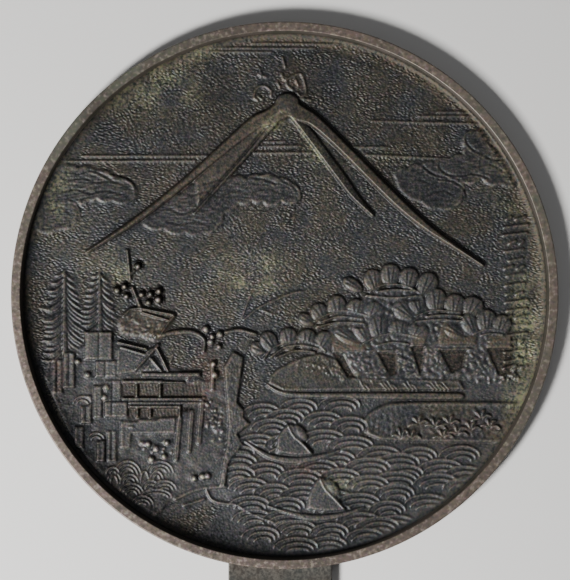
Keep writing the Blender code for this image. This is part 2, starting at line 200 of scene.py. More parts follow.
def scatter(a, b, spread, count, size, top, seed, tall=1.0):
    rng = np.random.default_rng(seed)
    for i in range(count):
        t, share = rng.random(), rng.uniform(0.5, 1.5)
        u = a[0] + (b[0] - a[0]) * t + rng.normal() * spread
        v = a[1] + (b[1] - a[1]) * t + rng.normal() * spread / 2
        halfHeight, beadTop = size * tall * rng.uniform(0.7, 1.2), top * rng.uniform(0.6, 1.15)
        dome(u, v, size * share, halfHeight, beadTop, rng.uniform(0, 40))
        fillShape(wearAndHighlight, oval(u, v, size * 0.6, size * 0.6, count=8), rng.uniform(-0.9, 0.5), 6)


def settle(outline, share, edge=20):
    fillShape(calm, outline, share, edge)


def fillShape(values, outline, share, edge=10):
    area = windowAround(outline, edge)
    values[area] = np.maximum(values[area], share * slope(outsideOf(outline, area), edge))


def paintAlong(values, points, share, width):
    path = curved(points)
    area = windowAround(path, width * 2)
    values[area] = np.maximum(values[area], share * slope(alongPath(path, area, width)[0], width))


def hatch(outline, depth, pitch, turn, width=2.6):
    area = windowAround(outline, 4)
    inside = slope(outsideOf(outline, area) + 3, 4)
    c, s = math.cos(math.radians(turn)), math.sin(math.radians(turn))
    phase = (across[area] * c + upward[area] * s) / pitch
    cutting = np.exp(-((phase - np.round(phase)) * pitch / width) ** 2)
    height[area] -= depth * cutting * inside


def scalloped(cusps, bulge, count=7):
    area = sum(a[0] * b[1] - b[0] * a[1] for a, b in zip(cusps, cusps[1:] + cusps[:1]))
    outward = -1 if area > 0 else 1
    made = []
    for a, b in zip(cusps, cusps[1:] + cusps[:1]):
        du, dv = b[0] - a[0], b[1] - a[1]
        for i in range(count):
            t = i / count
            swell = outward * bulge * math.sin(math.pi * t)
            made.append((a[0] + du * t - dv * swell, a[1] + dv * t + du * swell))
    return made


def noise(size, seed, stretch=1.0, turn=0.0, sharp=3.0):
    spread = np.random.default_rng(seed).standard_normal((cells, cells))
    fv = np.fft.fftfreq(cells, step)[:, None]
    fu = np.fft.fftfreq(cells, step)[None, :]
    c, s = math.cos(math.radians(turn)), math.sin(math.radians(turn))
    rate = np.hypot((fu * c + fv * s) * size * stretch, (fv * c - fu * s) * size)
    band = np.exp(-((rate - 1) * sharp) ** 2 / 2) if sharp else np.exp(-(rate ** 2) * 2)
    made = np.fft.ifft2(np.fft.fft2(spread) * band).real
    return made / made.std()


def blurred(values, radius):
    fv = np.fft.fftfreq(cells, step)[:, None]
    fu = np.fft.fftfreq(cells, step)[None, :]
    return np.fft.ifft2(np.fft.fft2(values) * np.exp(-2 * (math.pi * radius) ** 2 * (fu ** 2 + fv ** 2))).real


mountain = {
    "rise": 1.5,  # millimetres, as every rise
    "ridges": [("innerLeft", 0.75, 7, 0.1), ("innerRight", 0.8, 6, -0.5), ("leftSlope", 1.0, 9, 0.1),
               ("rightSlope", 1.0, 9, -0.12)],  # share of the rise, softness of the edge, lean
    "peakShare": 1.12,
    "sheetRise": 0.95,
    "sheetEdge": 22,
    "archRise": 0.75,
    "archWidth": 26,
    "brown": 0.5,
    "worn": 0.6,
    "leftSlope": [(10, 690, 70), (-55, 652, 58), (-105, 632, 50), (-200, 556, 38), (-350, 427, 25),
                  (-530, 285, 20), (-722, 160, 7)],
    "rightSlope": [(10, 690, 70), (60, 664, 56), (110, 638, 44), (205, 551, 36), (400, 356, 35),
                   (511, 258, 26), (605, 191, 16), (726, 110, 9)],
    "innerLeft": [(-40, 632, 30), (-75, 588, 18), (-163, 487, 12), (-330, 301, 8)],
    "innerRight": [(30, 670, 40), (75, 612, 34), (210, 430, 33), (257, 366, 27), (324, 293, 9)],
    "peak": (10, 698, 47, 44),
    "leftSheet": [(-60, 640), (-140, 600), (-250, 500), (-330, 420), (-320, 330), (-230, 425),
                  (-150, 515), (-90, 590)],
    "arch": [(-110, 590), (-60, 628), (-12, 652), (22, 655), (52, 635), (80, 596)],
    "innerEdge": [(-105, 590), (-62, 638), (-22, 668), (5, 672), (28, 650), (60, 600), (120, 520),
                  (160, 465)],
}
haze = {
    "rise": 0.35,
    "width": 9,
    "tickRise": 0.5,
    "curlRise": 0.48,
    "curlWidth": 8,
    "bars": [(-120, 922, 200, 919), (-270, 905, 110, 904), (-300, 892, -50, 890), (-740, 509, -285, 510),
             (-800, 490, -330, 492), (-70, 561, 0, 562), (-100, 545, 55, 546), (-112, 521, 100, 521),
             (320, 637, 720, 627), (490, 655, 720, 655), (560, 670, 700, 670), (250, 542, 372, 541),
             (300, 514, 612, 498)],
    "ticks": [[(-8, 872), (2, 838)], [(-96, 812), (-86, 802)], [(-26, 780), (-18, 765)],
              [(-112, 724), (-98, 714)], [(52, 722), (96, 716)]],
    "curls": [[(-112, 722), (-108, 752), (-80, 768), (-52, 752), (-50, 732)], [(-98, 730), (-82, 718)],
              [(-12, 812), (0, 790), (30, 802), (58, 812), (72, 782), (78, 745), (62, 728), (46, 742)],
              [(4, 800), (10, 770), (30, 752)], [(40, 790), (50, 770)],
              [(-92, 830), (-84, 806), (-66, 800)]],
}


def carveMountain():
    m, h = mountain, haze
    for ends in h["bars"]:
        stroke([ends[:2], ends[2:]], h["rise"], h["width"], 6, lean=0.5)
    for points in h["ticks"]:
        stroke(points, h["tickRise"], h["curlWidth"], 7)
    for points in h["curls"]:
        stroke(points, h["curlRise"], h["curlWidth"], 7, bend=True)
    plateau(m["leftSheet"], m["sheetRise"], m["sheetEdge"])
    settle(m["leftSheet"], 0.5)
    fillShape(brown, m["leftSheet"], m["brown"], 20)
    stroke(m["arch"], m["archRise"], m["archWidth"], m["archWidth"], bend=True)
    for name, share, edge, lean in m["ridges"]:
        stroke(m[name], m["rise"] * share, edge=edge, lean=lean, bend=True)
    dome(*m["peak"], m["rise"] * m["peakShare"], power=0.3)
    paintAlong(wearAndHighlight, m["innerEdge"], m["worn"], 6)
    paintAlong(greenish, m["innerEdge"], m["worn"], 12)
    for name in ("leftSlope", "rightSlope"):
        path = curved(m[name])
        area = windowAround(path, 60)
        brown[area] = np.maximum(brown[area], m["brown"] * slope(alongPath(path, area)[0], 10))


clouds = {
    "rise": 0.5,
    "lip": 0.1,
    "bulge": 0.17,  # of each scallop, as a share of its width
    "streakRise": 0.05,
    "dirtAndShade": 0.3,
    # strength of the lip's wear and painted highlight
    "worn": 0.36,
    "lobeRise": 0.14,
    "lobeDepth": 0.24,
    "foldRise": 0.07,
    "foldDepth": 0.15,
    "outlines": [[(-838, 468), (-757, 468), (-690, 458), (-618, 432), (-545, 400), (-545, 352),
                  (-633, 344), (-689, 352), (-715, 345), (-778, 338), (-760, 270), (-826, 239),
                  (-915, 240)],
                 [(-521, 262), (-443, 242), (-364, 228), (-300, 225), (-250, 243), (-222, 300),
                  (-170, 335), (-120, 345), (-79, 341), (-47, 328), (-12, 342), (45, 342), (60, 370),
                  (28, 411), (-28, 430), (-84, 441), (-142, 429), (-191, 434), (-300, 410), (-380, 372)],
                 [(404, 430), (404, 452), (450, 465), (500, 481), (545, 490), (600, 497), (655, 515),
                  (655, 540), (655, 585), (700, 602), (770, 605), (880, 470), (866, 408), (791, 404),
                  (720, 425), (655, 411), (652, 364), (630, 328), (560, 318), (500, 340)]],
    "folds": [[(-800, 420), (-740, 430), (-690, 415), (-640, 420), (-590, 405)],
              [(-820, 380), (-770, 390), (-715, 375), (-660, 385), (-600, 372)],
              [(-860, 310), (-820, 325), (-790, 300)],
              [(-480, 300), (-430, 320), (-380, 300), (-330, 315)],
              [(-340, 365), (-290, 380), (-240, 362), (-190, 385), (-130, 375), (-70, 392), (-20, 378)],
              [(-430, 270), (-380, 262), (-330, 270), (-290, 262)],
              [(440, 400), (490, 425), (540, 410), (590, 440), (640, 425)],
              [(530, 370), (580, 385), (620, 365)], [(690, 560), (730, 570), (770, 540)],
              [(700, 470), (750, 480), (800, 455)]],
    "lobes": [[(560, 420), (610, 414), (652, 385), (660, 350), (640, 325)],
              [(500, 470), (540, 440), (590, 425)],
              [(575, 497), (560, 470), (590, 440), (640, 432), (690, 440), (740, 425)],
              [(720, 515), (690, 525), (660, 560), (665, 600)], [(735, 500), (770, 490), (820, 500)],
              [(-640, 440), (-600, 432), (-556, 405), (-550, 370)],
              [(-720, 452), (-690, 445), (-640, 418)], [(-300, 402), (-260, 412), (-200, 425)],
              [(-120, 425), (-80, 420), (-40, 405)], [(-12, 415), (20, 400), (38, 380)],
              [(-790, 345), (-764, 332), (-750, 300), (-758, 268), (-790, 250)]],
}


def carveClouds():
    c = clouds
    streaks = noise(8, 21, stretch=7, turn=2)
    worn = noise(70, 22, sharp=0)
    for outline in c["outlines"]:
        outline = scalloped(outline, c["bulge"])
        area = windowAround(outline, 24)
        offset = outsideOf(outline, area)
        u, v = across[area], upward[area]
        lean = ((u - u.min()) / np.ptp(u) + (v - v.min()) / np.ptp(v)) / 2  # rises to the upper right
        form = c["rise"] * (0.3 + 0.75 * lean) * slope(offset, 9)
        form += c["lip"] * np.exp(-((offset + 9) / 6) ** 2)
        form += c["streakRise"] * streaks[area] * slope(offset + 14, 10)
        height[area] = np.maximum(height[area], form)
        settle(outline, 1.0, 10)
        fillShape(dirtAndShade, outline, c["dirtAndShade"], 14)
        # wear and painted highlight along each cloud's lip
        lipWearAndHighlight = np.clip(0.3 + 0.8 * worn[area], 0, 1) * np.exp(-((offset + 4) / 4) ** 2)
        wearAndHighlight[area] = np.maximum(wearAndHighlight[area], c["worn"] * lipWearAndHighlight)
    for lobe in c["lobes"]:
        groove([(u + 5, v + 5) for u, v in lobe], c["lobeDepth"], 4, bend=True)
        stroke(lobe, c["lobeRise"], 6, 7, bend=True, over=True)
        # painted highlight on the lower left of each lobe line, the side facing the key light
        paintAlong(wearAndHighlight, [(u - 3, v - 3) for u, v in lobe], 0.22, 4)
    for fold in c["folds"]:
        groove(fold, c["foldDepth"], 4, bend=True)
        stroke([(u, v - 8) for u, v in fold], c["foldRise"], 6, 8, bend=True, over=True)


cedars = {
    "rise": 0.6,
    "trees": [(-806, -205, 78, 78), (-677, -130, 72, 66)],  # across, foot, top, reach
    "pitch": 17.5,
    "sides": ((-1, 0.75, 1.0), (1, 1.1, 0.9)),  # side, sag of its boughs, share of the reach
    "trunk": ((1, 19), (0, 12)),  # sideways and width, at the foot and at the top
    "dirtAndShade": 0.3,
}
rocks = {
    "rise": 1.0,
    "blocks": [(-732, -630, -132, -235), (-694, -615, -238, -300), (-850, -812, -234, -360),
               (-810, -768, -208, -340), (-700, -668, -330, -450), (-658, -598, -310, -388),
               (-660, -574, -388, -446), (-748, -706, -366, -470), (-650, -614, -495, -610),
               (-690, -656, -530, -610), (-770, -735, -480, -560), (-600, -570, -470, -560)],
    "step": 0.16,  # every third block is as high again
    "seams": [(-725, -140, -230), (-678, -140, -230), (-655, -242, -296), (-832, -240, -350),
              (-788, -214, -330), (-726, -372, -460), (-630, -316, -440), (-632, -500, -600)],
}
temple = {
    "rise": 1.25,
    "thatchRise": 0.5,
    "knotRise": 0.8,
    "sheetRise": 0.8,
    "wallRise": 0.25,
    "courtRise": 0.7,
    "fenceRise": 0.95,
    "beads": [((-520, -540), (-430, -570), 16, 26, 0.85, 71), ((-580, -475), (-545, -485), 8, 10, 1.0, 72)],
    "doorway": (-374, -342, -411, -428),
    "beams": [(-524, -308, -281, -298), (-594, -446, -309, -323), (-594, -302, -373, -384),
              (-570, -290, -390, -397), (-570, -378, -401, -413)],
    "posts": [(-548, -536, -322, -372), (-462, -450, -322, -372), (-545, -533, -412, -448),
              (-498, -486, -412, -448), (-390, -378, -412, -448)],
    "walls": [(-594, -302, -322, -374), (-574, -382, -410, -450)],
    "fence": [(-384, -450, -398, -600), (-340, -426, -350, -570), (-302, -390, -314, -540)],
    "court": [(-602, -560), (-602, -458), (-540, -462), (-532, -452), (-470, -455), (-455, -447),
              (-396, -445), (-400, -505), (-560, -508), (-564, -560)],
    "thatch": [(-612, -98), (-596, -74), (-570, -58), (-520, -48), (-404, -70), (-420, -110),
               (-448, -148), (-478, -166), (-530, -150), (-596, -140)],
    "knots": [(-585, -112, 26, 12, 20), (-540, -96, 34, 14, -35), (-498, -134, 34, 12, 25),
              (-452, -104, 34, 14, 60)],
    "sheets": [[(-612, -190), (-512, -222), (-545, -282), (-618, -292)],
               [(-505, -200), (-466, -186), (-545, -268)], [(-488, -234), (-452, -276), (-520, -278)]],
    "ridges": [[(-590, -75), (-564, -50), (-530, -47), (-410, -70)], [(-520, -63), (-428, -90)],
               [(-405, -75), (-425, -100), (-456, -146)], [(-608, -172), (-508, -196)],
               [(-600, -190), (-514, -216)], [(-462, -181), (-543, -270)], [(-488, -232), (-452, -275)],
               [(-446, -318), (-370, -320)], [(-470, -190), (-428, -275)]],
}
leftShore = {
    "rise": 0.35,
    "land": [(-292, -314), (-150, -300), (-178, -392), (-138, -436), (-130, -470), (-185, -512),
             (-152, -546), (-205, -600), (-218, -700), (-290, -706), (-420, -750), (-480, -830),
             (-640, -720), (-790, -500), (-880, -300), (-860, -215), (-640, -158)],
    "beads": [((-275, -400), (-235, -520), 18, 46, 0.85, 81),
              ((-345, -300), (-310, -370), 12, 16, 0.9, 82)],
}
blossoms = {
    "rise": 1.4,
    "twigRise": 1.0,
    "radius": 12.5,
    "cutDepth": 0.35,  # of the ground around the knobs of the tree
    "cutBelow": -60,  # knobs lower than this have no cut ground
    # painted shade around each knob, reaching furthest to the upper right
    "dirtAndShade": 0.8,
    # painted highlight on the lower left of each knob, facing the key light
    "wearAndHighlight": 0.9,
    "spots": [(-586, 33), (-613, 18), (-579, -3), (-523, 5), (-491, 5), (-460, 16), (-463, -15),
              (-498, -26), (-537, 107), (-652, -337), (-659, -374), (-757, -243), (-722, -290),
              (-265, -150), (-240, -188), (-270, -170), (-288, -124), (-236, -142), (-260, -250),
              (-256, -290), (-430, -540), (-500, -545), (-470, -562), (-440, -590), (-488, -600),
              (-330, -670), (-300, -663), (-282, -661)],
    "twigs": [[(-576, 165, 9), (-566, 60, 12)], [(-558, 30, 9), (-526, -50, 14)],
              [(-458, -150, 10), (-415, -138, 17), (-345, -134, 17), (-296, -160, 12), (-297, -205, 12)],
              [(-215, -135, 10), (-165, -128, 15), (-105, -142, 9)],
              [(-545, -10, 6), (-500, 0, 6), (-455, 5, 6)], [(-620, 5, 6), (-585, 20, 7), (-560, 10, 8)],
              [(-537, 105, 6), (-560, 80, 7)]],
}


def carveCedars():
    rng = np.random.default_rng(17)
    rise, pitch = cedars["rise"], cedars["pitch"]
    for u, foot, top, reach in cedars["trees"]:
        settle([(u - reach, foot), (u + reach, foot), (u + reach * 0.6, top), (u - reach * 0.6, top)], 1.0)
        for i in range(int((top - foot) / pitch) + 1):
            for side, sag, reachShare in cedars["sides"]:
                v = top - pitch * (i - 0.6) + rng.uniform(-4, 4)
                span = reach * reachShare * min(1.0, 0.5 + i * 0.1) * rng.uniform(0.8, 1.1)
                drop = 0.74 if side < 0 else 0.98
                bough = [(u, v, 5), (u + side * span * 0.25, v - span * 0.42 * sag, 9),
                         (u + side * span * 0.6, v - span * 0.74 * sag, 11),
                         (u + side * span, v - span * drop * sag, 4)]
                if bough[-1][1] > foot - 34:
                    stroke(bough, rise * rng.uniform(0.5, 1.1), edge=9, lean=-0.3 * side, bend=True)
        (footShift, footWidth), (topShift, topWidth) = cedars["trunk"]
        trunk = [(u + footShift, foot, footWidth), (u + topShift, top, topWidth)]
        stroke(trunk, rise * 1.15, edge=7, lean=0.12)
        fillShape(dirtAndShade, block(u - reach, u + reach, top, foot), cedars["dirtAndShade"], 30)


def carveTemple():
    t = temple
    area, offset = plateau(t["thatch"], t["thatchRise"], 20)
    height[area] += 0.07 * noise(16, 51, stretch=1.6, turn=20)[area] * slope(offset, 16)
    for knot in t["knots"]:
        dome(*knot[:4], t["knotRise"], knot[4], 0.9)
    settle(t["thatch"], 1.0)
    fillShape(dirtAndShade, t["thatch"], 0.2, 20)
    fillShape(brown, t["thatch"], 0.6, 20)
    fillShape(brown, oval(-470, -125, 36, 34), 1.0, 20)
    scatter((-500, -130), (-450, -150), 12, 14, 7, 0.9, 73)
    for sheet in t["sheets"]:
        plateau(sheet, t["sheetRise"], 7, 0.08)
    hatch(t["sheets"][-1], 0.15, 12, -25)
    for ridge in t["ridges"]:
        stroke(ridge, t["rise"] * 1.05, 9, 7)
    for wall in t["walls"]:
        clearAway(block(*wall), 0.1)
        plateau(block(*wall), t["wallRise"], 5)
        hatch(block(*wall), 0.1, 12, 12, 3.6)
        fillShape(dirtAndShade, block(*wall), 0.3, 6)
        fillShape(brown, block(*wall), 0.5, 6)
    for beam in t["beams"] + t["posts"]:
        plateau(block(*beam), t["rise"], 6, 0.05, 4)
    plateau(t["court"], t["courtRise"], 7, 0.1)
    for a, b, c, d in t["fence"]:
        stroke([(a, b), (c, d)], t["fenceRise"], 18, 7)
        groove([(a + 2, b - 8), (c + 2, d + 8)], 0.2, 3)
    for start, end, spread, count, rise, seed in t["beads"]:
        scatter(start, end, spread, count, 8, rise, seed)
    # painted shade in the doorway
    fillShape(dirtAndShade, block(*t["doorway"]), 1.0, 6)


def carveLeftShore():
    area, offset = plateau(leftShore["land"], leftShore["rise"], 12)
    height[area] += 0.045 * noise(50, 5)[area] * slope(offset, 20)
    for start, end, spread, count, rise, seed in leftShore["beads"]:
        scatter(start, end, spread, count, 8, rise, seed)
    settle(leftShore["land"], 0.85)
    carveCedars()
    for i, shape in enumerate(rocks["blocks"]):
        plateau(block(*shape), rocks["rise"] - rocks["step"] * (i % 3), 6, 0.08)
    for u, top, bottom in rocks["seams"]:
        groove([(u, top), (u - 2, bottom)], 0.35, 2.6)
    carveTemple()
    carveBlossoms()


def carveBlossoms():
    b = blossoms
    knobs = [(u, v, b["radius"] * (1 + 0.15 * math.sin(u))) for u, v in b["spots"]]
    for twig in b["twigs"]:
        stroke(twig, b["twigRise"], edge=7, bend=True)
    for u, v, size in knobs:
        if v > b["cutBelow"]:
            clearAway(oval(u + 4, v + 4, size * 1.8, size * 1.8), -b["cutDepth"], 8)
            # painted shade around the knob, offset to the upper right, away from the key light
            fillShape(dirtAndShade, oval(u + 5, v + 5, size * 1.7, size * 1.7), b["dirtAndShade"], 8)
    for u, v, size in knobs:
        dome(u, v, size, size, b["rise"], power=0.5)
        area = windowAround([(u, v)], size * 2)
        dirtAndShade[area] *= 1 - slope(outsideOf(oval(u - 2, v - 2, size * 0.75, size * 0.75), area), 8)
        # painted highlight on the knob's lower left, towards the key light
        fillShape(wearAndHighlight, oval(u - 2, v - 2, size * 0.6, size * 0.6), b["wearAndHighlight"], 8)


bushes = {
    "rise": 0.8,
    "trunkRise": 0.95,
    "pathRise": 0.6,
    "stump": (-272, -256, -250, -350),
    "arches": [(-575, -668, 52, 62), (-455, -650, 48, 42), (-624, -690, 26, 42), (-568, -690, 34, 36),
               (-512, -690, 15, 46), (-468, -688, 26, 44), (-560, -732, 46, 44), (-488, -712, 36, 34),
               (-440, -712, 44, 34), (-470, -740, 58, 30), (-520, -768, 40, 34), (-740, -400, 34, 30),
               (-690, -530, 30, 26), (-628, -655, 24, 26)],
    "trunk": [(-222, -262), (-188, -205), (-150, -226), (-160, -300), (-174, -392), (-148, -420),
              (-150, -446), (-126, -470), (-172, -506), (-164, -526), (-152, -546), (-192, -594),
              (-206, -618), (-218, -702), (-240, -700), (-226, -610), (-212, -540), (-206, -470),
              (-212, -400)],
    "land": [(-170, -690), (-300, -690), (-480, -760), (-470, -830), (-360, -800), (-290, -765),
             (-180, -770)],
    "path": [(-399, -744, 14), (-347, -718, 16), (-290, -703, 15), (-215, -700, 12)],
    "path2": [(-368, -768, 10), (-295, -746, 10)],
    "shore": [(-286, -712, 7), (-264, -749, 9), (-217, -762, 9), (-178, -766, 8), (-139, -790, 8),
              (-87, -814, 8), (-40, -830, 6)],
}


def archLines(u, foot, half, rise, top, rings, width, gap, drop=0.0, skew=0.0):
    for ring in range(rings):
        spread, lifted = half - gap * ring, rise - (gap - drop) * ring
        if spread < 6 or lifted < 5:
            break
        points = [(u + skew * (math.sin(a) + 0.5 * ring) + spread * math.cos(a),
                   foot - drop * ring + lifted * math.sin(a), width * (0.35 + 0.65 * math.sin(a)))
                  for a in np.linspace(0, math.pi, 11)]
        stroke(points, top, edge=6, lean=-0.25)


def carveBushes():
    b = bushes
    for u, foot, half, rise in b["arches"]:
        clearAway(oval(u, foot + rise * 0.4, half, rise * 0.62), 0.4)
        archLines(u, foot, half, rise, b["rise"], 3, 8, 13)
    area, offset = plateau(b["trunk"], b["trunkRise"], 9)
    height[area] += 0.05 * noise(10, 8, stretch=3, turn=80)[area] * slope(offset + 4, 8)
    plateau(block(*b["stump"]), 0.9, 6)
    settle(b["land"], 1.0)
    for name in ("path", "path2", "shore"):
        stroke(b[name], b["pathRise"], edge=7, lean=-0.3, bend=True)
    # painted shade in a notch
    fillShape(dirtAndShade, oval(-350, -780, 10, 14), 0.9)


pines = {
    "rise": 1.2,
    "floorRise": 1.0,
    "bodyRise": 0.45,
    "collarRise": 0.75,
    "ledgeRise": 0.9,
    "beadRise": 0.72,
    "steep": 40,  # leaves turned further than this stand free of the floor lines
    "body": [(120, -190), (200, -70), (330, 20), (480, 20), (560, -60), (700, -110), (800, -130),
             (800, -300), (640, -310), (262, -305), (190, -235)],
    "leaves": [(-95, -195, 24, 36, 60), (-55, -160, 30, 36, 35), (15, -150, 33, 38, 5),
               (82, -152, 34, 36, -5), (145, -158, 34, 34, -30), (250, 38, 22, 46, 60),
               (325, 66, 34, 36, 15), (388, 84, 35, 38, 0), (455, 72, 34, 36, -8),
               (522, 50, 35, 42, -25), (80, -90, 22, 38, 60), (130, -55, 31, 34, 30),
               (192, -35, 34, 42, 5), (262, -42, 34, 36, -5), (325, -52, 36, 36, -30),
               (440, -58, 32, 54, 50), (487, -22, 31, 34, 15), (555, -8, 36, 40, 0),
               (625, -25, 37, 36, -8), (690, -32, 37, 34, -25), (228, -152, 24, 58, 60),
               (285, -122, 28, 40, 28), (345, -108, 35, 44, 8), (420, -118, 38, 34, 0),
               (488, -125, 38, 34, -35), (620, -132, 24, 46, 60), (680, -95, 29, 38, 25),
               (740, -85, 35, 40, 0), (795, -100, 33, 36, -20)],  # across, up, half width, half height, turn
    "arcs": [[(-75, -230), (-40, -190), (50, -165), (120, -180), (150, -205)],
             [(-50, -225), (0, -190), (60, -182), (120, -194)], [(-30, -228), (40, -202), (110, -208)],
             [(312, 16), (350, 36), (400, 41), (450, 33), (494, 10)], [(340, 14), (400, 22), (478, 16)],
             [(300, 0), (400, -8), (500, 0)], [(110, -95), (165, -66), (230, -56), (312, -76)],
             [(130, -98), (200, -77), (285, -86)], [(120, -114), (200, -98), (290, -102)],
             [(478, -76), (520, -60), (560, -54), (645, -63)], [(520, -77), (580, -71), (650, -77)],
             [(480, -95), (560, -88), (650, -93)], [(288, -176), (350, -146), (420, -139), (490, -154)],
             [(340, -182), (400, -171), (455, -178)], [(690, -142), (740, -124), (800, -130)],
             [(720, -146), (760, -139), (800, -144)]],
    "collars": [[(168, -135), (176, -204), (300, -202), (290, -175), (230, -165)],
                [(465, -150), (462, -182), (512, -180), (522, -145)],
                [(588, -95), (566, -130), (562, -182), (700, -180), (702, -150), (640, -150), (612, -122)],
                [(750, -148), (742, -190), (830, -190), (830, -148)]],
    "ledges": [[(178, -206), (320, -202)], [(344, -204), (400, -202)], [(464, -184), (512, -183)],
               [(572, -184), (690, -184)], [(574, -197), (686, -197)], [(744, -168), (832, -168)],
               [(744, -190), (834, -190)]],
    "funnels": [[(178, -212), (232, -300), (262, -300), (215, -215)],
                [(340, -208), (388, -296), (412, -285), (412, -212)],
                [(464, -188), (498, -292), (510, -240), (514, -186)],
                [(568, -200), (612, -284), (655, -262), (668, -202)],
                [(742, -194), (786, -294), (830, -286), (838, -194)]],
    "rocks": [((250, -225), (330, -295)), ((430, -225), (475, -295)), ((530, -200), (590, -285)),
              ((680, -215), (735, -295)), ((150, -235), (215, -300)), ((800, -230), (810, -300))],
}


def carvePines():
    p = pines
    area, offset = plateau(p["body"], p["bodyRise"], 16)
    height[area] += 0.1 * noise(26, 11)[area] * slope(offset, 20)
    settle(p["body"], 1.0)
    for i, (start, end) in enumerate(p["rocks"]):
        scatter(start, end, 19, 70, 6.5, p["beadRise"], 60 + i, 1.3)
    for outline in p["funnels"]:
        clearAway(outline, -0.1, 8)
        # painted shade in the recessed funnel
        fillShape(dirtAndShade, outline, 0.5, 12)
        fillShape(brown, outline, 0.6, 16)
    rough = noise(10, 12)
    for outline in p["collars"]:
        area, offset = plateau(outline, p["collarRise"], 9)
        height[area] += 0.05 * rough[area] * slope(offset, 12)
        fillShape(brown, outline, 0.9, 12)
    for ledge in p["ledges"]:
        stroke(ledge, p["ledgeRise"], 6, 7)
    for u, v, halfWidth, halfHeight, turn in p["leaves"]:
        lowered = 0 if turn > p["steep"] else 11  # its foot is hidden by the floor lines
        leaf(u, v - lowered, halfWidth * 1.06, halfHeight + lowered - 5, turn, p["rise"])
        settle(oval(u, v, halfWidth * 0.7, halfHeight * 0.7, turn, 12), 1.0)
    for arc in p["arcs"]:
        clearAway([(u, v + 5) for u, v in arc] + [(u, v - 18) for u, v in arc[::-1]], 0.6)
    for arc in p["arcs"]:
        stroke(arc, p["floorRise"], 8, 7, lean=-0.2, bend=True)


shore = {
    "rise": 0.6,
    "grassRise": 0.9,
    "grass": (276, 290, 352, 364, 378, 392, 436, 450, 464, 524, 538, 552, 566, 580),
    "leafRise": 1.0,
    "leafTurns": (-72, -24, 24, 72),
    "ridgeRise": 0.5,
    "hill": [(-60, -322), (-54, -298), (-26, -270), (30, -242), (70, -224), (130, -212), (190, -232),
             (262, -300), (640, -308), (660, -345), (0, -350)],
    "beach": [(-64, -326, 7), (-20, -352, 12), (60, -364, 16), (300, -367, 22), (610, -369, 24),
              (650, -369, 9)],
    "island": [(284, -468), (302, -437), (337, -411), (384, -395), (450, -390), (600, -388), (880, -392),
               (830, -540), (450, -536), (345, -528), (302, -509)],
    "plants": [(428, -505), (463, -510), (492, -458), (552, -468), (581, -506), (606, -458), (634, -494),
               (683, -478), (722, -438), (752, -470)],
    "smooth": [(640, 900, -290, -400), (265, 410, -370, -445)],
    "ridge": [(-150, -90, 5), (-102, -50, 7), (-46, -22, 8), (0, -2, 8), (46, 12, 7), (70, 15, 5)],
    "ridge2": [(-158, -84, 4), (-122, 10, 5)],
    "ridge3": [(-82, -54, 5), (-46, -68, 6)],
}


def carveShores():
    s = shore
    for name in ("ridge", "ridge2", "ridge3"):
        stroke(s[name], s["ridgeRise"], edge=6, bend=True)
    plateau(s["hill"], s["rise"] * 0.75, 9, 0.15)
    scatter((60, -240), (215, -295), 14, 60, 6, 0.8, 91)
    stroke(s["beach"], s["rise"] * 1.3, edge=8, bend=True)
    for u in s["grass"]:
        stroke([(u, -312 - 7 * (u % 3)), (u + 9, -330), (u + 22, -346)], s["grassRise"], 6, 6)
    for smooth in s["smooth"]:
        settle(block(*smooth), 0.9)
    area, offset = plateau(s["island"], s["rise"] * 0.75, 8, 0.28, 9)
    height[area] += 0.05 * noise(24, 14)[area] * slope(offset + 14, 12)
    for i, (u, v) in enumerate(s["plants"]):
        for turn in s["leafTurns"]:
            tilt = math.radians(turn + 9 * (i % 3) - 9)
            rising, aside = math.cos(tilt), math.sin(tilt)
            blade = [(u - 6 * aside, v + 6 * rising - 16, 6), (u - 22 * aside, v + 24 * rising - 14, 15),
                     (u - 38 * aside, v + 38 * rising - 16 - abs(9 * aside), 7)]
            stroke(blade, s["leafRise"], edge=4, lean=0.45, bend=True)


sea = {
    "rise": 0.55,
    "half": 76,
    "lift": 36,
    "rings": 3,
    "gap": 19,
    "drop": 9,
    "width": 12,
    "fans": [(200, -370), (50, -380), (-85, -398), (138, -427), (235, -446), (-54, -454), (140, -493),
             (241, -517), (-105, -510), (346, -553), (487, -556), (640, -553), (188, -570), (304, -596),
             (439, -622), (570, -602), (654, -626), (201, -635), (-74, -614), (56, -637), (304, -660),
             (402, -647), (556, -654), (-132, -670), (-46, -691), (60, -700), (402, -693), (266, -726),
             (-130, -736), (2, -740), (374, -754), (520, -730), (271, -796), (402, -807), (41, -824),
             (164, -835), (340, -813), (-88, -848), (41, -888), (153, -883)],
    "skew": 7,
    "water": [(-260, -640), (-150, -420), (-60, -345), (280, -400), (280, -520), (420, -545),
              (900, -545), (700, -760), (300, -940), (-60, -960), (-330, -880), (-200, -770)],
    "waterRise": 0.12,
    "rows": 24,  # of a grid that fills the gaps between the fans
    "pitch": (118, 23),
}
boats = {
    "rise": 1.25,
    "hullRise": 0.8,
    "shelters": [[(-28, -574), (-26, -520), (14, -472), (44, -486), (72, -540), (100, -580), (40, -586)],
                 [(86, -782), (90, -726), (128, -668), (160, -684), (196, -744), (222, -784), (150, -790)]],
    "caps": [(58, -503, 20, 38, 38), (174, -704, 22, 40, 38)],
    "ridges": [[(12, -476), (34, -516), (68, -545), (98, -578)],
               [(130, -670), (148, -708), (182, -744), (218, -782)]],
    "hulls": [[(-144, -535, 6), (-60, -588, 18), (25, -604, 24), (110, -596, 20), (200, -568, 7)],
              [(-60, -772, 6), (40, -803, 18), (120, -815, 22), (210, -803, 18), (290, -776, 6)]],
}


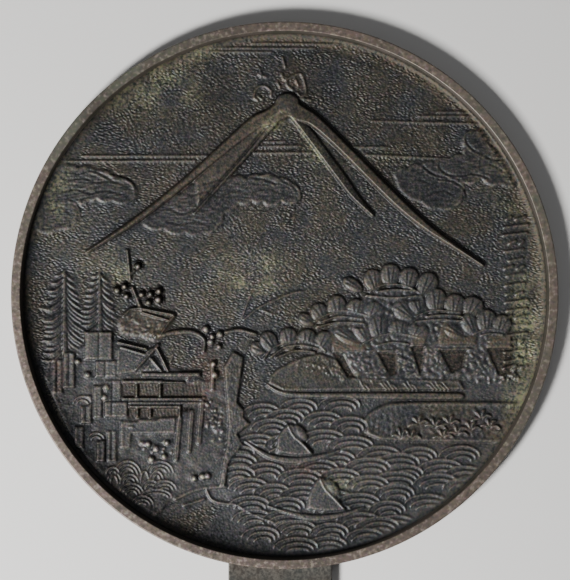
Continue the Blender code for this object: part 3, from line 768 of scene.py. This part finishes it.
def carveSea():
    plateau(sea["water"], sea["waterRise"], 20)
    settle(sea["water"], 1.0)
    fans = list(sea["fans"])
    for row in range(sea["rows"]):
        v = -372 - sea["pitch"][1] * row
        for column in range(-3, 8):
            u = sea["pitch"][0] * (column + 0.5 * (row % 2))
            near = any(math.hypot((u - a) / 88, (v - b) / 40) < 1 for a, b in fans)
            if not near and math.hypot(u, v) < 940 and u > -225 + abs(v + 640) * 0.35 and v > -900:
                fans.append((u, v))
    fans.sort(key=lambda p: -p[1])
    for i, (u, v) in enumerate(fans):
        if (v > -545 and u > 262) or (u < -150 and v < -775):  # the island and the lower left shore
            continue
        foot = v - sea["lift"]
        half = sea["half"] * (1 + 0.1 * math.sin(7 * i))
        clearAway(oval(u, foot, half, sea["lift"]), sea["waterRise"])
        archLines(u, foot, half, sea["lift"], sea["rise"], sea["rings"], sea["width"], sea["gap"],
                  sea["drop"], sea["skew"])


def carveBoats():
    for hull in boats["hulls"]:
        area = windowAround(hull, 40)
        height[area] *= 1 - slope(alongPath(hull, area)[0] - 3, 6)
        stroke(hull, boats["hullRise"], edge=9, bend=True)
    for outline, cap, ridge in zip(boats["shelters"], boats["caps"], boats["ridges"]):
        outline = [p[:2] for p in curved(outline + outline[:1], 4)][:-1]
        clearAway(outline, 0.3)
        plateau(outline, boats["rise"] * 0.75, 18, 0.1, 5)
        dome(*cap[:4], boats["rise"] * 0.95, cap[4], 0.45)
        stroke(ridge, boats["rise"] * 1.05, 8, 7, bend=True)


signature = {
    "left": 806,
    "right": 888,
    "top": 286,
    "bottom": -265,
    "rows": 19,
    "lean": 10,
    "width": 10,
    "gap": 17,
    "rise": 0.6,
}


def carveSignature():
    s = signature
    settle(block(s["left"] - 10, s["right"] + 10, s["top"] + 15, s["bottom"] - 15), 0.6)
    rng = np.random.default_rng(29)
    for row in range(s["rows"]):
        v = s["top"] + (s["bottom"] - s["top"]) * row / (s["rows"] - 1) + rng.uniform(-3, 3)
        low, high = v - s["lean"] / 2, v + s["lean"] / 2
        left, right = s["left"] + rng.uniform(-4, 18), s["right"] - rng.uniform(-4, 18)
        parting = left + (right - left) * (0.38 + 0.08 * (row % 4))
        if row % 3:
            stroke([(left, low), (right, high)], s["rise"] * rng.uniform(0.7, 1.2), s["width"], 7)
        else:
            stroke([(left, low), (parting - s["gap"] / 2, high)], s["rise"], s["width"], 7)
            stroke([(parting + s["gap"] / 2, low), (right, high)], s["rise"], s["width"], 7)


carveMountain()
carveClouds()
carveShores()
carvePines()
carveSea()
carveBoats()
carveLeftShore()
carveBushes()
carveSignature()
print("relief carved")

reach = np.hypot(across, upward)
flat = np.exp(-np.maximum(height, 0) / 0.12)
pebbles = 0.8 * noise(picture["pebbleSize"], 3, stretch=2.1, turn=picture["pebbleTurn"], sharp=1.8)
pebbles = np.tanh(pebbles + 0.3 * noise(picture["grainSize"], 4, stretch=2.0, turn=picture["pebbleTurn"]))
pebbles *= np.clip(0.85 + 0.35 * noise(picture["patchSize"], 6, sharp=0), 0.3, 1.5)
height = blurred(height, picture["softness"])
fade = np.clip((picture["coveOuter"] - 8 - reach) / 24, 0, 1)  # to the smooth curve under the rim
height *= fade
height += picture["pebbleRise"] * 0.5 * pebbles * blurred(flat, 2.0) * (1 - 0.8 * blurred(calm, 3)) * fade
height += picture["skinRise"] * noise(picture["skinSize"], 31) * fade
height += picture["swellRise"] * noise(picture["swellSize"], 9, sharp=0) * fade
hollow = blurred(height, 9) - height  # above zero in pits, below on crests
coveShare = np.clip((reach - picture["coveInner"]) / (picture["coveOuter"] - picture["coveInner"]), 0, 1)
cove = picture["coveRise"] * (1 - np.sqrt(1 - np.minimum(coveShare, 0.9999) ** 2))
surface = picture["ground"] + (height + cove) * 0.001
print("ground finished")


def patch(u, v, halfWidth, halfHeight):
    return np.exp(-(((across - u) / halfWidth) ** 2 + ((upward - v) / halfHeight) ** 2))


stainsAndShade = {  # across, up, half width, half height, strength
    "green": [(905, -180, 60, 240, 1.3), (-830, 350, 70, 120, 0.8), (-130, 75, 110, 60, 0.9),
              (-500, 790, 150, 90, 0.9), (205, -700, 60, 30, 0.7), (120, 520, 50, 50, 0.5),
              (820, 420, 80, 120, 0.5), (-40, 620, 60, 30, 0.6), (-340, 900, 90, 30, 0.9),
              (386, 509, 90, 40, 0.4), (848, -400, 40, 90, 0.9), (-620, 90, 90, 70, 0.4)],
    "rust": [(690, -500, 130, 50, 0.4), (95, -640, 90, 30, 0.5), (-300, -320, 60, 120, 0.7),
             (40, 780, 60, 40, 0.6), (-60, 550, 40, 30, 0.5), (-400, 380, 60, 40, 0.4),
             (-832, -290, 24, 70, 0.7)],
    "dusted": [(-130, 75, 130, 90, 1.0), (60, 330, 330, 240, 0.4), (-500, -330, 160, 160, 0.6)],
    "dustedAll": 0.25,
    "greenEdge": 0.3,  # along the right rim
    "brownEdge": 0.8,  # along the upper right rim
    "brownAll": 0.14,
    # painted shade on the whole cove wall
    "wallShadeShare": 0.12,
    "litWallShadeShare": 0.6,  # painted shade on the stretch of the wall at the upper right, which faces the key light
    # painted shade, darker towards the top of the field
    "skyShadeShare": 0.2,
    "rimShadowShare": 0.62,  # painted shadow cast by the rim along its lower left
}
turned = np.degrees(np.arctan2(upward, across))


def patches(name):
    return sum(share * patch(*place) for *place, share in stainsAndShade[name])


def outward(inner, width):
    return np.clip((reach - inner) / width, 0, 1)


def toward(angle, spread, top):
    return np.clip(top - np.abs((turned - angle + 180) % 360 - 180) / spread, 0, 1)


def varied(size, seed, least=0.75, swing=0.5, most=2.0):
    return np.clip(least + swing * noise(size, seed, sharp=0), 0, most)


green = patches("green") * varied(60, 41) + blurred(greenish, 3)
green += stainsAndShade["greenEdge"] * outward(905, 45) * toward(30, 90, 1.2)
rust = patches("rust") * varied(40, 42)
brown += stainsAndShade["brownEdge"] * outward(905, 25) * toward(45, 75, 1.5)
brown = np.maximum(blurred(brown, 4), stainsAndShade["brownAll"] * np.clip(noise(120, 45, sharp=0) - 0.3, 0, 1))
# painted shade on the cove wall, strongest where it faces the key light
paintedWallShade = (stainsAndShade["wallShadeShare"] + stainsAndShade["litWallShadeShare"] * toward(45, 32, 1.6)) * outward(910, 25)
# painted shade, darker towards the top of the field
paintedSkyShade = stainsAndShade["skyShadeShare"] * np.clip((upward - 120) / 300, 0, 1) * varied(90, 43, 0.8, 0.3, 1.5)
# painted shadow of the rim over the lower left of the field
paintedRimShadow = stainsAndShade["rimShadowShare"] * toward(225, 55, 1.5) * outward(790, 110) ** 1.3
dirtAndShade = np.maximum.reduce([blurred(dirtAndShade, 3), paintedWallShade, paintedSkyShade, paintedRimShadow])
dusted = stainsAndShade["dustedAll"] + patches("dusted")
wearAndHighlight = np.maximum(wearAndHighlight, dusted * np.clip(noise(7, 44) - 0.9, 0, 1) * (reach < 890))
layers = {"hollow": hollow, "green": green, "rust": rust, "brown": brown, "dirtAndShade": dirtAndShade, "wearAndHighlight": wearAndHighlight,
          "calm": blurred(calm, 4)}


def sampled(values, x, y):
    i = np.clip(x / unit / step + middle, 0, cells - 1.001)
    j = np.clip(y / unit / step + middle, 0, cells - 1.001)
    a, b = i.astype(int), j.astype(int)
    s, t = i - a, j - b
    return ((values[b, a] * (1 - s) + values[b, a + 1] * s) * (1 - t)
            + (values[b + 1, a] * (1 - s) + values[b + 1, a + 1] * s) * t)


field = {
    "cells": 306,  # along each side of a tile
    "reach": 957.0,  # thousandths of the radius
    "underside": 0.0012,  # metres
}


def discFromSquare(a, b):
    wide = np.abs(a) >= np.abs(b)
    ratio = np.where(wide, b / np.where(a == 0, 1, a), a / np.where(b == 0, 1, b))
    angle = np.where(wide, math.pi / 4 * ratio, math.pi / 2 - math.pi / 4 * ratio)
    radius = np.where(wide, a, b)
    return radius * np.cos(angle), radius * np.sin(angle)


def reliefTile(name, signU, signV):
    bpy.ops.mesh.primitive_grid_add(x_subdivisions=field["cells"], y_subdivisions=field["cells"], size=1,
                                    location=(signU / 2, signV / 2, 0))
    tile = bpy.context.object
    tile.name = tile.data.name = name
    bpy.ops.object.transform_apply(location=True)
    bpy.ops.object.mode_set(mode="EDIT")
    bpy.ops.mesh.select_mode(type="EDGE")
    bpy.ops.mesh.select_all(action="SELECT")
    bpy.ops.mesh.region_to_loop()
    bpy.ops.mesh.extrude_region_move(TRANSFORM_OT_translate={"value": (0, 0, -1)})
    bpy.ops.mesh.edge_face_add()
    bpy.ops.mesh.select_all(action="SELECT")
    bpy.ops.mesh.normals_make_consistent(inside=False)
    bpy.ops.object.mode_set(mode="OBJECT")
    mesh = tile.data
    spots = np.empty(len(mesh.vertices) * 3)
    mesh.vertices.foreach_get("co", spots)
    spots = spots.reshape(-1, 3)
    top = spots[:, 2] > -0.5
    grid = np.rint(spots[:, :2] * field["cells"]) / field["cells"]
    x, y = discFromSquare(grid[:, 0], grid[:, 1])
    x, y = x * field["reach"] * unit, y * field["reach"] * unit
    spots[:, 0], spots[:, 1] = x, y
    spots[:, 2] = np.where(top, sampled(surface, x, y), field["underside"])
    mesh.vertices.foreach_set("co", spots.ravel())
    slopeV, slopeU = np.gradient(surface, step * unit)
    facing = np.stack([-sampled(slopeU, x, y), -sampled(slopeV, x, y), np.ones(len(x))], 1)
    facing[~top] = (0, 0, -1)
    facing /= np.linalg.norm(facing, axis=1)[:, None]
    for key, values in layers.items():
        mesh.attributes.new(key, "FLOAT", "POINT").data.foreach_set("value", sampled(values, x, y))
    bpy.ops.object.shade_smooth()
    mesh.normals_split_custom_set_from_vertices(facing.tolist())
    mesh.update()
    tile.select_set(False)
    return tile


tiles = [reliefTile("relief_" + name, a, b) for name, a, b in
         (("upper_right", 1, 1), ("upper_left", -1, 1), ("lower_left", -1, -1), ("lower_right", 1, -1))]
print("relief meshed", sum(len(tile.data.polygons) for tile in tiles))

casting = {
    "segments": 512,
    "outer": 0.091,
    "rimHeight": 0.0055,
    "rimInner": 0.0879,
    "rimSoft": 0.0005,  # rounding of the worn rim
    "lipShare": 0.7,  # of that rounding, at the rim's inner edge
    "footSoft": 0.0003,
    "wall": [(0.08745, 0.0046), (0.08732, 0.0042), (0.08727, 0.0037)],  # radius and height
    "hidden": (0.083, 0.0015),  # where the ring ends under the relief
    "handleWidth": 0.0345,
    "handleLength": 0.094,
    "handleThickness": 0.0033,
    "handleOffset": -0.0015,
    "handleRoot": -0.0875,  # inside the rim
    "handleCorner": 0.003,
    "handleSoft": 0.0004,
}


def rounded(centreR, centreZ, radius, start, end, count=5):
    return [(centreR + radius * math.cos(math.radians(a)), centreZ + radius * math.sin(math.radians(a)))
            for a in np.linspace(start, end, count)]


def coveAt(radius):
    share = (radius / unit - picture["coveInner"]) / (picture["coveOuter"] - picture["coveInner"])
    return picture["ground"] + picture["coveRise"] * 0.001 * (1 - math.sqrt(1 - min(share, 0.9999) ** 2))


def makeCasting():
    c = casting
    foot, soft, lip = c["footSoft"], c["rimSoft"], c["rimSoft"] * c["lipShare"]
    edge = field["reach"] * unit
    profile = rounded(c["outer"] - foot, foot, foot, -90, 0, 4)
    profile += rounded(c["outer"] - soft, c["rimHeight"] - soft, soft, 0, 90, 6)
    profile += rounded(c["rimInner"] + lip, c["rimHeight"] - lip, lip, 90, 165, 5)
    profile += c["wall"]
    profile += [(edge + 0.0001, coveAt(edge + 0.0001)), (edge, coveAt(edge) - 0.00001),
                (edge - 0.0002, coveAt(edge) - 0.0006), c["hidden"]]  # dips under the relief's edge
    bpy.ops.mesh.primitive_circle_add(vertices=c["segments"], radius=profile[0][0], fill_type="NGON")
    piece = bpy.context.object
    piece.name = piece.data.name = "mirror_casting"
    bpy.ops.object.mode_set(mode="EDIT")
    bpy.ops.mesh.select_all(action="SELECT")
    for (r, z), (nextR, nextZ) in zip(profile, profile[1:]):
        bpy.ops.mesh.extrude_region_move(TRANSFORM_OT_translate={"value": (0, 0, nextZ - z)})
        bpy.ops.transform.resize(value=(nextR / r, nextR / r, 1))
    bpy.ops.mesh.select_all(action="SELECT")
    bpy.ops.mesh.normals_make_consistent(inside=False)
    bpy.ops.object.mode_set(mode="OBJECT")
    piece.select_set(False)
    top, end = c["handleRoot"], -c["outer"] - c["handleLength"]
    place = (c["handleOffset"], (top + end) / 2, c["handleThickness"] / 2)
    bpy.ops.mesh.primitive_cube_add(size=1, location=place)
    grip = bpy.context.object
    grip.scale = (c["handleWidth"], top - end, c["handleThickness"])
    bpy.ops.object.transform_apply(location=True, scale=True)
    bpy.ops.object.mode_set(mode="EDIT")
    bpy.ops.mesh.select_mode(type="EDGE")
    bpy.ops.mesh.select_all(action="DESELECT")
    bpy.ops.object.mode_set(mode="OBJECT")
    for e in grip.data.edges:
        a, b = (grip.data.vertices[i].co for i in e.vertices)
        e.select = abs(a.z - b.z) > 0.001 and a.y < -c["outer"]  # upright, at its free end
    bpy.ops.object.mode_set(mode="EDIT")
    bpy.ops.mesh.bevel(offset=c["handleCorner"], segments=6, affect="EDGES")
    bpy.ops.mesh.select_all(action="SELECT")
    bpy.ops.mesh.edges_select_sharp(sharpness=math.radians(60))
    bpy.ops.object.mode_set(mode="OBJECT")
    for e in grip.data.edges:
        a, b = (grip.data.vertices[i].co for i in e.vertices)
        level = abs(a.z - b.z) < 0.0001
        e.select = level and not (a.y > top - 0.001 and b.y > top - 0.001)
    bpy.ops.object.mode_set(mode="EDIT")
    bpy.ops.mesh.bevel(offset=c["handleSoft"], segments=4, affect="EDGES")
    bpy.ops.object.mode_set(mode="OBJECT")
    grip.select_set(False)
    join = piece.modifiers.new("grip", "BOOLEAN")
    join.operation, join.solver, join.object = "UNION", "EXACT", grip
    even = piece.modifiers.new("even", "WEIGHTED_NORMAL")
    even.keep_sharp = True
    bpy.context.view_layer.objects.active = piece
    piece.select_set(True)
    bpy.ops.object.modifier_apply(modifier=join.name)
    bpy.ops.object.shade_smooth()
    piece.data.set_sharp_from_angle(angle=math.radians(50))
    bpy.ops.object.modifier_apply(modifier=even.name)
    piece.select_set(False)
    bpy.data.objects.remove(grip)
    return piece


mirrorCasting = makeCasting()
print("casting made", len(mirrorCasting.data.polygons))

rimLightByAngle = {0: 0.55, 45: 0.95, 90: 0.7, 135: 0.02, 180: 0.82, 225: 0.70, 270: 0.42, 315: 0.55,
           360: 0.55}  # painted light and shade on the rim's top, as brightness by degrees counterclockwise from +X
spots = np.array([v.co for v in mirrorCasting.data.vertices])
around = np.degrees(np.arctan2(spots[:, 1], spots[:, 0])) % 360
rimShading = np.interp(around, list(rimLightByAngle), list(rimLightByAngle.values()))
mirrorCasting.data.attributes.new("rimShading", "FLOAT", "POINT").data.foreach_set("value", rimShading)
rimGreen = {0: 0.25, 25: 0.4, 50: 0.2, 75: 0.0, 100: 0.05, 125: 0.5, 150: 0.4, 170: 0.1, 200: 0.0,
            320: 0.0, 335: 0.3, 360: 0.25}  # verdigris, by the same degrees
verdigris = np.interp(around, list(rimGreen), list(rimGreen.values()))
mirrorCasting.data.attributes.new("verdigris", "FLOAT", "POINT").data.foreach_set("value", verdigris)

bronze = {
    "cool": (0.017, 0.020, 0.024, 1),
    "warm": (0.029, 0.026, 0.018, 1),
    "slate": (0.032, 0.035, 0.043, 1),
    "dark": (0.008, 0.008, 0.008, 1),
    "worn": (0.100, 0.083, 0.062, 1),
    "wear": 0.45,  # how far the crests show the worn colour
    "wearAndHighlight": (0.26, 0.24, 0.20, 1),
    "tint": 0.55,  # strength of the patina's small changes of hue
    # near black, for soiling in pits and for painted shade and shadow
    "grimeAndShade": (0.005, 0.004, 0.004, 1),
    "green": (0.145, 0.150, 0.088, 1),
    "rust": (0.09, 0.046, 0.030, 1),
    "brown": (0.062, 0.047, 0.028, 1),
    "rim": (0.108, 0.080, 0.064, 1),
    "rimDark": (0.048, 0.038, 0.031, 1),
    "rimGreen": (0.095, 0.105, 0.078, 1),
    "dust": (0.19, 0.175, 0.145, 1),
    "cove": (0.027, 0.025, 0.017, 1),
    "handle": (0.033, 0.037, 0.034, 1),
    "face": (0.30, 0.27, 0.21, 1),
    "roughness": 0.46,
    # the relief turns fully metallic where soiling and painted shade darken it, so it stops shining
    "metallic": {"clean": 0.35, "dirtyAndShaded": 1.0, "rim": 0.35, "cove": 0.3, "handle": 0.6, "face": 0.9},
    "grain": {"relief": 900.0, "rim": 700.0, "handle": 500.0, "face": 120.0},  # per metre
    "dustFrom": -0.0985,  # down the grip, in metres
    "dustTo": -0.0915,
}


class Nodes:
    def __init__(self, tree):
        self.tree = tree

    def add(self, kind, **values):
        node = self.tree.nodes.new("ShaderNode" + kind)
        for key, value in values.items():
            if hasattr(node, key):
                setattr(node, key, value)
            else:
                node.inputs[key].default_value = value
        return node

    def link(self, a, b):
        self.tree.links.new(a, b)


def mixColours(n, factor, a, b, blend="MIX"):
    mix = n.add("Mix", data_type="RGBA", blend_type=blend)
    for socket, value in ((mix.inputs[0], factor), (mix.inputs[6], a), (mix.inputs[7], b)):
        if isinstance(value, (tuple, float, int)):
            socket.default_value = value
        else:
            n.link(value, socket)
    return mix.outputs[2]


def ranged(n, value, low, high, outLow=0.0, outHigh=1.0):
    node = n.add("MapRange")
    n.link(value, node.inputs["Value"])
    for name, number in (("From Min", low), ("From Max", high), ("To Min", outLow), ("To Max", outHigh)):
        node.inputs[name].default_value = number
    return node.outputs[0]


def times(n, a, b, operation="MULTIPLY"):
    node = n.add("Math", operation=operation)
    for socket, value in zip(node.inputs, (a, b)):
        if isinstance(value, (float, int)):
            socket.default_value = value
        else:
            n.link(value, socket)
    return node.outputs[0]


def speckleGroup():
    tree = bpy.data.node_groups.new("castSpeckle", "ShaderNodeTree")
    tree.interface.new_socket("Scale", in_out="INPUT", socket_type="NodeSocketFloat").default_value = 900
    for name in ("Mottle", "Speck", "Height"):
        tree.interface.new_socket(name, in_out="OUTPUT", socket_type="NodeSocketFloat")
    tree.interface.new_socket("Hue", in_out="OUTPUT", socket_type="NodeSocketColor")
    n = Nodes(tree)
    start, end = tree.nodes.new("NodeGroupInput"), tree.nodes.new("NodeGroupOutput")
    place = n.add("TexCoord").outputs["Object"]
    for share, detail, name in ((0.12, 5.0, "Mottle"), (1.0, 3.0, "Speck"), (2.2, 4.0, "Height")):
        texture = n.add("TexNoise", Detail=detail, Roughness=0.6)
        n.link(place, texture.inputs["Vector"])
        n.link(times(n, start.outputs["Scale"], share), texture.inputs["Scale"])
        n.link(texture.outputs[0], end.inputs[name])
        if name == "Speck":
            n.link(texture.outputs[1], end.inputs["Hue"])
    return tree


speckle = speckleGroup()


def bronzeMaterial(name, grain, metallic=None):
    made = bpy.data.materials.new(name)
    made.use_nodes = True
    n = Nodes(made.node_tree)
    group = n.add("Group")
    group.node_tree = speckle
    group.inputs["Scale"].default_value = bronze["grain"][grain]
    shader = made.node_tree.nodes["Principled BSDF"]
    if metallic:
        shader.inputs["Metallic"].default_value = bronze["metallic"][metallic]
    return made, n, group, shader


def finishMaterial(n, group, shader, colour, roughness, bump=0.00004):
    n.link(colour, shader.inputs["Base Color"])
    rough = ranged(n, group.outputs["Speck"], 0.3, 0.7, roughness - 0.08, roughness + 0.10)
    n.link(rough, shader.inputs["Roughness"])
    node = n.add("Bump", Strength=1.0, Distance=bump)
    n.link(group.outputs["Height"], node.inputs["Height"])
    n.link(node.outputs[0], shader.inputs["Normal"])


def reliefMaterial():
    made, n, group, shader = bronzeMaterial("reliefBronze", "relief")
    attribute = {key: n.add("Attribute", attribute_name=key).outputs["Fac"] for key in layers}
    mottle, speck = group.outputs["Mottle"], group.outputs["Speck"]
    colour = mixColours(n, ranged(n, mottle, 0.4, 0.6), bronze["cool"], bronze["warm"])
    colour = mixColours(n, ranged(n, speck, 0.55, 0.4, 0.0, 0.55), colour, bronze["dark"])
    slate = times(n, attribute["calm"], ranged(n, mottle, 0.4, 0.6, 0.0, 0.6))
    colour = mixColours(n, slate, colour, bronze["slate"])
    crest = ranged(n, attribute["hollow"], 0.02, -0.16)
    crest = times(n, crest, ranged(n, speck, 0.35, 0.6, 0.35, 1.0))
    colour = mixColours(n, times(n, crest, bronze["wear"]), colour, bronze["worn"])
    # wear, and painted highlights on the lit side of knobs and cloud edges
    worn = times(n, attribute["wearAndHighlight"], ranged(n, speck, 0.4, 0.6, 0.2, 0.9))
    colour = mixColours(n, worn, colour, bronze["wearAndHighlight"])
    pit = ranged(n, attribute["hollow"], 0.03, 0.2)
    colour = mixColours(n, times(n, pit, 0.6), colour, bronze["grimeAndShade"])
    stained = (("green", 0.38, 0.05, 0.9), ("rust", 0.3, 0.1, 0.6), ("brown", 0.3, 0.2, 0.9))
    for key, low, least, most in stained:
        share = times(n, attribute[key], ranged(n, speck, low, 0.6, least, most))
        colour = mixColours(n, share, colour, bronze[key])
    # soiling, painted shade and painted shadow, mixed towards near black
    darkening = times(n, attribute["dirtAndShade"], ranged(n, speck, 0.35, 0.65, 1.0, 0.6))
    colour = mixColours(n, darkening, colour, bronze["grimeAndShade"])
    colour = mixColours(n, bronze["tint"], colour, group.outputs["Hue"], "OVERLAY")
    metallic = bronze["metallic"]  # soiled places and painted shade don't shine
    n.link(ranged(n, darkening, 0.0, 0.9, metallic["clean"], metallic["dirtyAndShaded"]), shader.inputs["Metallic"])
    finishMaterial(n, group, shader, colour, bronze["roughness"] + 0.06)
    return made


def rimMaterial():
    made, n, group, shader = bronzeMaterial("rimBronze", "rim", "rim")
    mottle, speck = group.outputs["Mottle"], group.outputs["Speck"]
    # painted light and shade around the rim, read from the rim's angle
    rimShading = n.add("Attribute", attribute_name="rimShading").outputs["Fac"]
    rimShading = times(n, rimShading, ranged(n, mottle, 0.38, 0.62, 1.45, 0.5))
    colour = mixColours(n, rimShading, bronze["rimDark"], bronze["rim"])
    colour = mixColours(n, ranged(n, speck, 0.53, 0.66, 0.0, 0.6), colour, bronze["dust"])
    colour = mixColours(n, ranged(n, speck, 0.44, 0.34, 0.0, 0.6), colour, bronze["rimDark"])
    patina = n.add("Attribute", attribute_name="verdigris").outputs["Fac"]
    patina = times(n, patina, ranged(n, mottle, 0.4, 0.55, 0.1, 1.0))
    colour = mixColours(n, patina, colour, bronze["rimGreen"])
    colour = mixColours(n, 0.5 * bronze["tint"], colour, group.outputs["Hue"], "OVERLAY")
    finishMaterial(n, group, shader, colour, bronze["roughness"])
    return made


def coveMaterial():
    made, n, group, shader = bronzeMaterial("coveBronze", "rim", "cove")
    colour = mixColours(n, ranged(n, group.outputs["Mottle"], 0.38, 0.62), bronze["cove"], bronze["rimDark"])
    finishMaterial(n, group, shader, colour, bronze["roughness"] + 0.09)
    return made


def handleMaterial():
    made, n, group, shader = bronzeMaterial("handleBronze", "handle", "handle")
    mottle = ranged(n, group.outputs["Mottle"], 0.35, 0.65)
    colour = mixColours(n, mottle, bronze["handle"], bronze["rimDark"])
    apart = n.add("SeparateXYZ")
    n.link(n.add("TexCoord").outputs["Object"], apart.inputs[0])
    nearRim = ranged(n, apart.outputs["Y"], bronze["dustFrom"], bronze["dustTo"], 0.0, 0.35)
    nearRim = times(n, nearRim, ranged(n, group.outputs["Height"], 0.42, 0.6))
    colour = mixColours(n, nearRim, colour, bronze["dust"])
    finishMaterial(n, group, shader, colour, bronze["roughness"])
    return made


def faceMaterial():
    made, n, group, shader = bronzeMaterial("tarnishedFace", "face", "face")
    colour = mixColours(n, ranged(n, group.outputs["Mottle"], 0.4, 0.65), bronze["face"], bronze["handle"])
    finishMaterial(n, group, shader, colour, bronze["roughness"] - 0.14, 0.00001)
    return made


reliefBronze = reliefMaterial()
for tile in tiles:
    tile.data.materials.append(reliefBronze)
for material in (rimMaterial(), handleMaterial(), faceMaterial(), coveMaterial()):
    mirrorCasting.data.materials.append(material)
for polygon in mirrorCasting.data.polygons:
    radius, level = math.hypot(polygon.center.x, polygon.center.y), polygon.center.z
    if polygon.normal.z < -0.99:
        polygon.material_index = 2
    elif radius < casting["rimInner"] - 0.0001 and level > 0.002:
        polygon.material_index = 3
    elif radius > casting["outer"] + 0.0001:
        polygon.material_index = 1

for piece in [mirrorCasting] + tiles:
    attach(piece, "root")
    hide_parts("mirror")
print("materials set")

studio = {
    "floor": (0.62, 0.61, 0.59, 1),
    "floorSize": 6,
    "floorGap": 0.0001,
    "keyPower": 24.0,
    "keyFrom": (-0.52, -0.50, 0.56),
    "keySize": 0.2,
    "fillPower": 2.0,
    "fillFrom": (0.4, 0.6, 1.1),
    "fillSize": 1.2,
    "world": 0.10,
    "worldColour": (0.9, 0.93, 1.0, 1),
    "sensor": 36,
    "cameraHeight": 0.9,
    "shown": 0.19264,  # metres from the top to the bottom of the picture
    "centre": (0.0001, 0.00176),
}


def addLight(name, place, size, power):
    data = bpy.data.lights.new(name, "AREA")
    data.size, data.energy = size, power
    lamp = bpy.data.objects.new(name, data)
    lamp.location = place
    lamp.rotation_euler = Vector(place).to_track_quat("Z", "Y").to_euler()
    bpy.context.scene.collection.objects.link(lamp)


def makeStudio():
    bpy.ops.mesh.primitive_plane_add(size=studio["floorSize"], location=(0, 0, -studio["floorGap"]))
    floor = bpy.context.object
    floor.name = "floor"
    made = bpy.data.materials.new("paleFloor")
    made.use_nodes = True
    shader = made.node_tree.nodes["Principled BSDF"]
    shader.inputs["Base Color"].default_value = studio["floor"]
    shader.inputs["Roughness"].default_value = 0.9
    floor.data.materials.append(made)
    addLight("key", studio["keyFrom"], studio["keySize"], studio["keyPower"])
    addLight("fill", studio["fillFrom"], studio["fillSize"], studio["fillPower"])
    world = bpy.data.worlds.new("soft")
    world.use_nodes = True
    sky = world.node_tree.nodes["Background"]
    sky.inputs[0].default_value = studio["worldColour"]
    sky.inputs[1].default_value = studio["world"]
    bpy.context.scene.world = world
    lens = bpy.data.cameras.new("camera")
    lens.sensor_width = lens.sensor_height = studio["sensor"]
    lens.lens = studio["sensor"] * (studio["cameraHeight"] - casting["rimHeight"]) / studio["shown"]
    camera = bpy.data.objects.new("camera", lens)
    camera.location = (*studio["centre"], studio["cameraHeight"])
    bpy.context.scene.collection.objects.link(camera)
    bpy.context.scene.camera = camera


makeStudio()
bpy.context.view_layer.update()
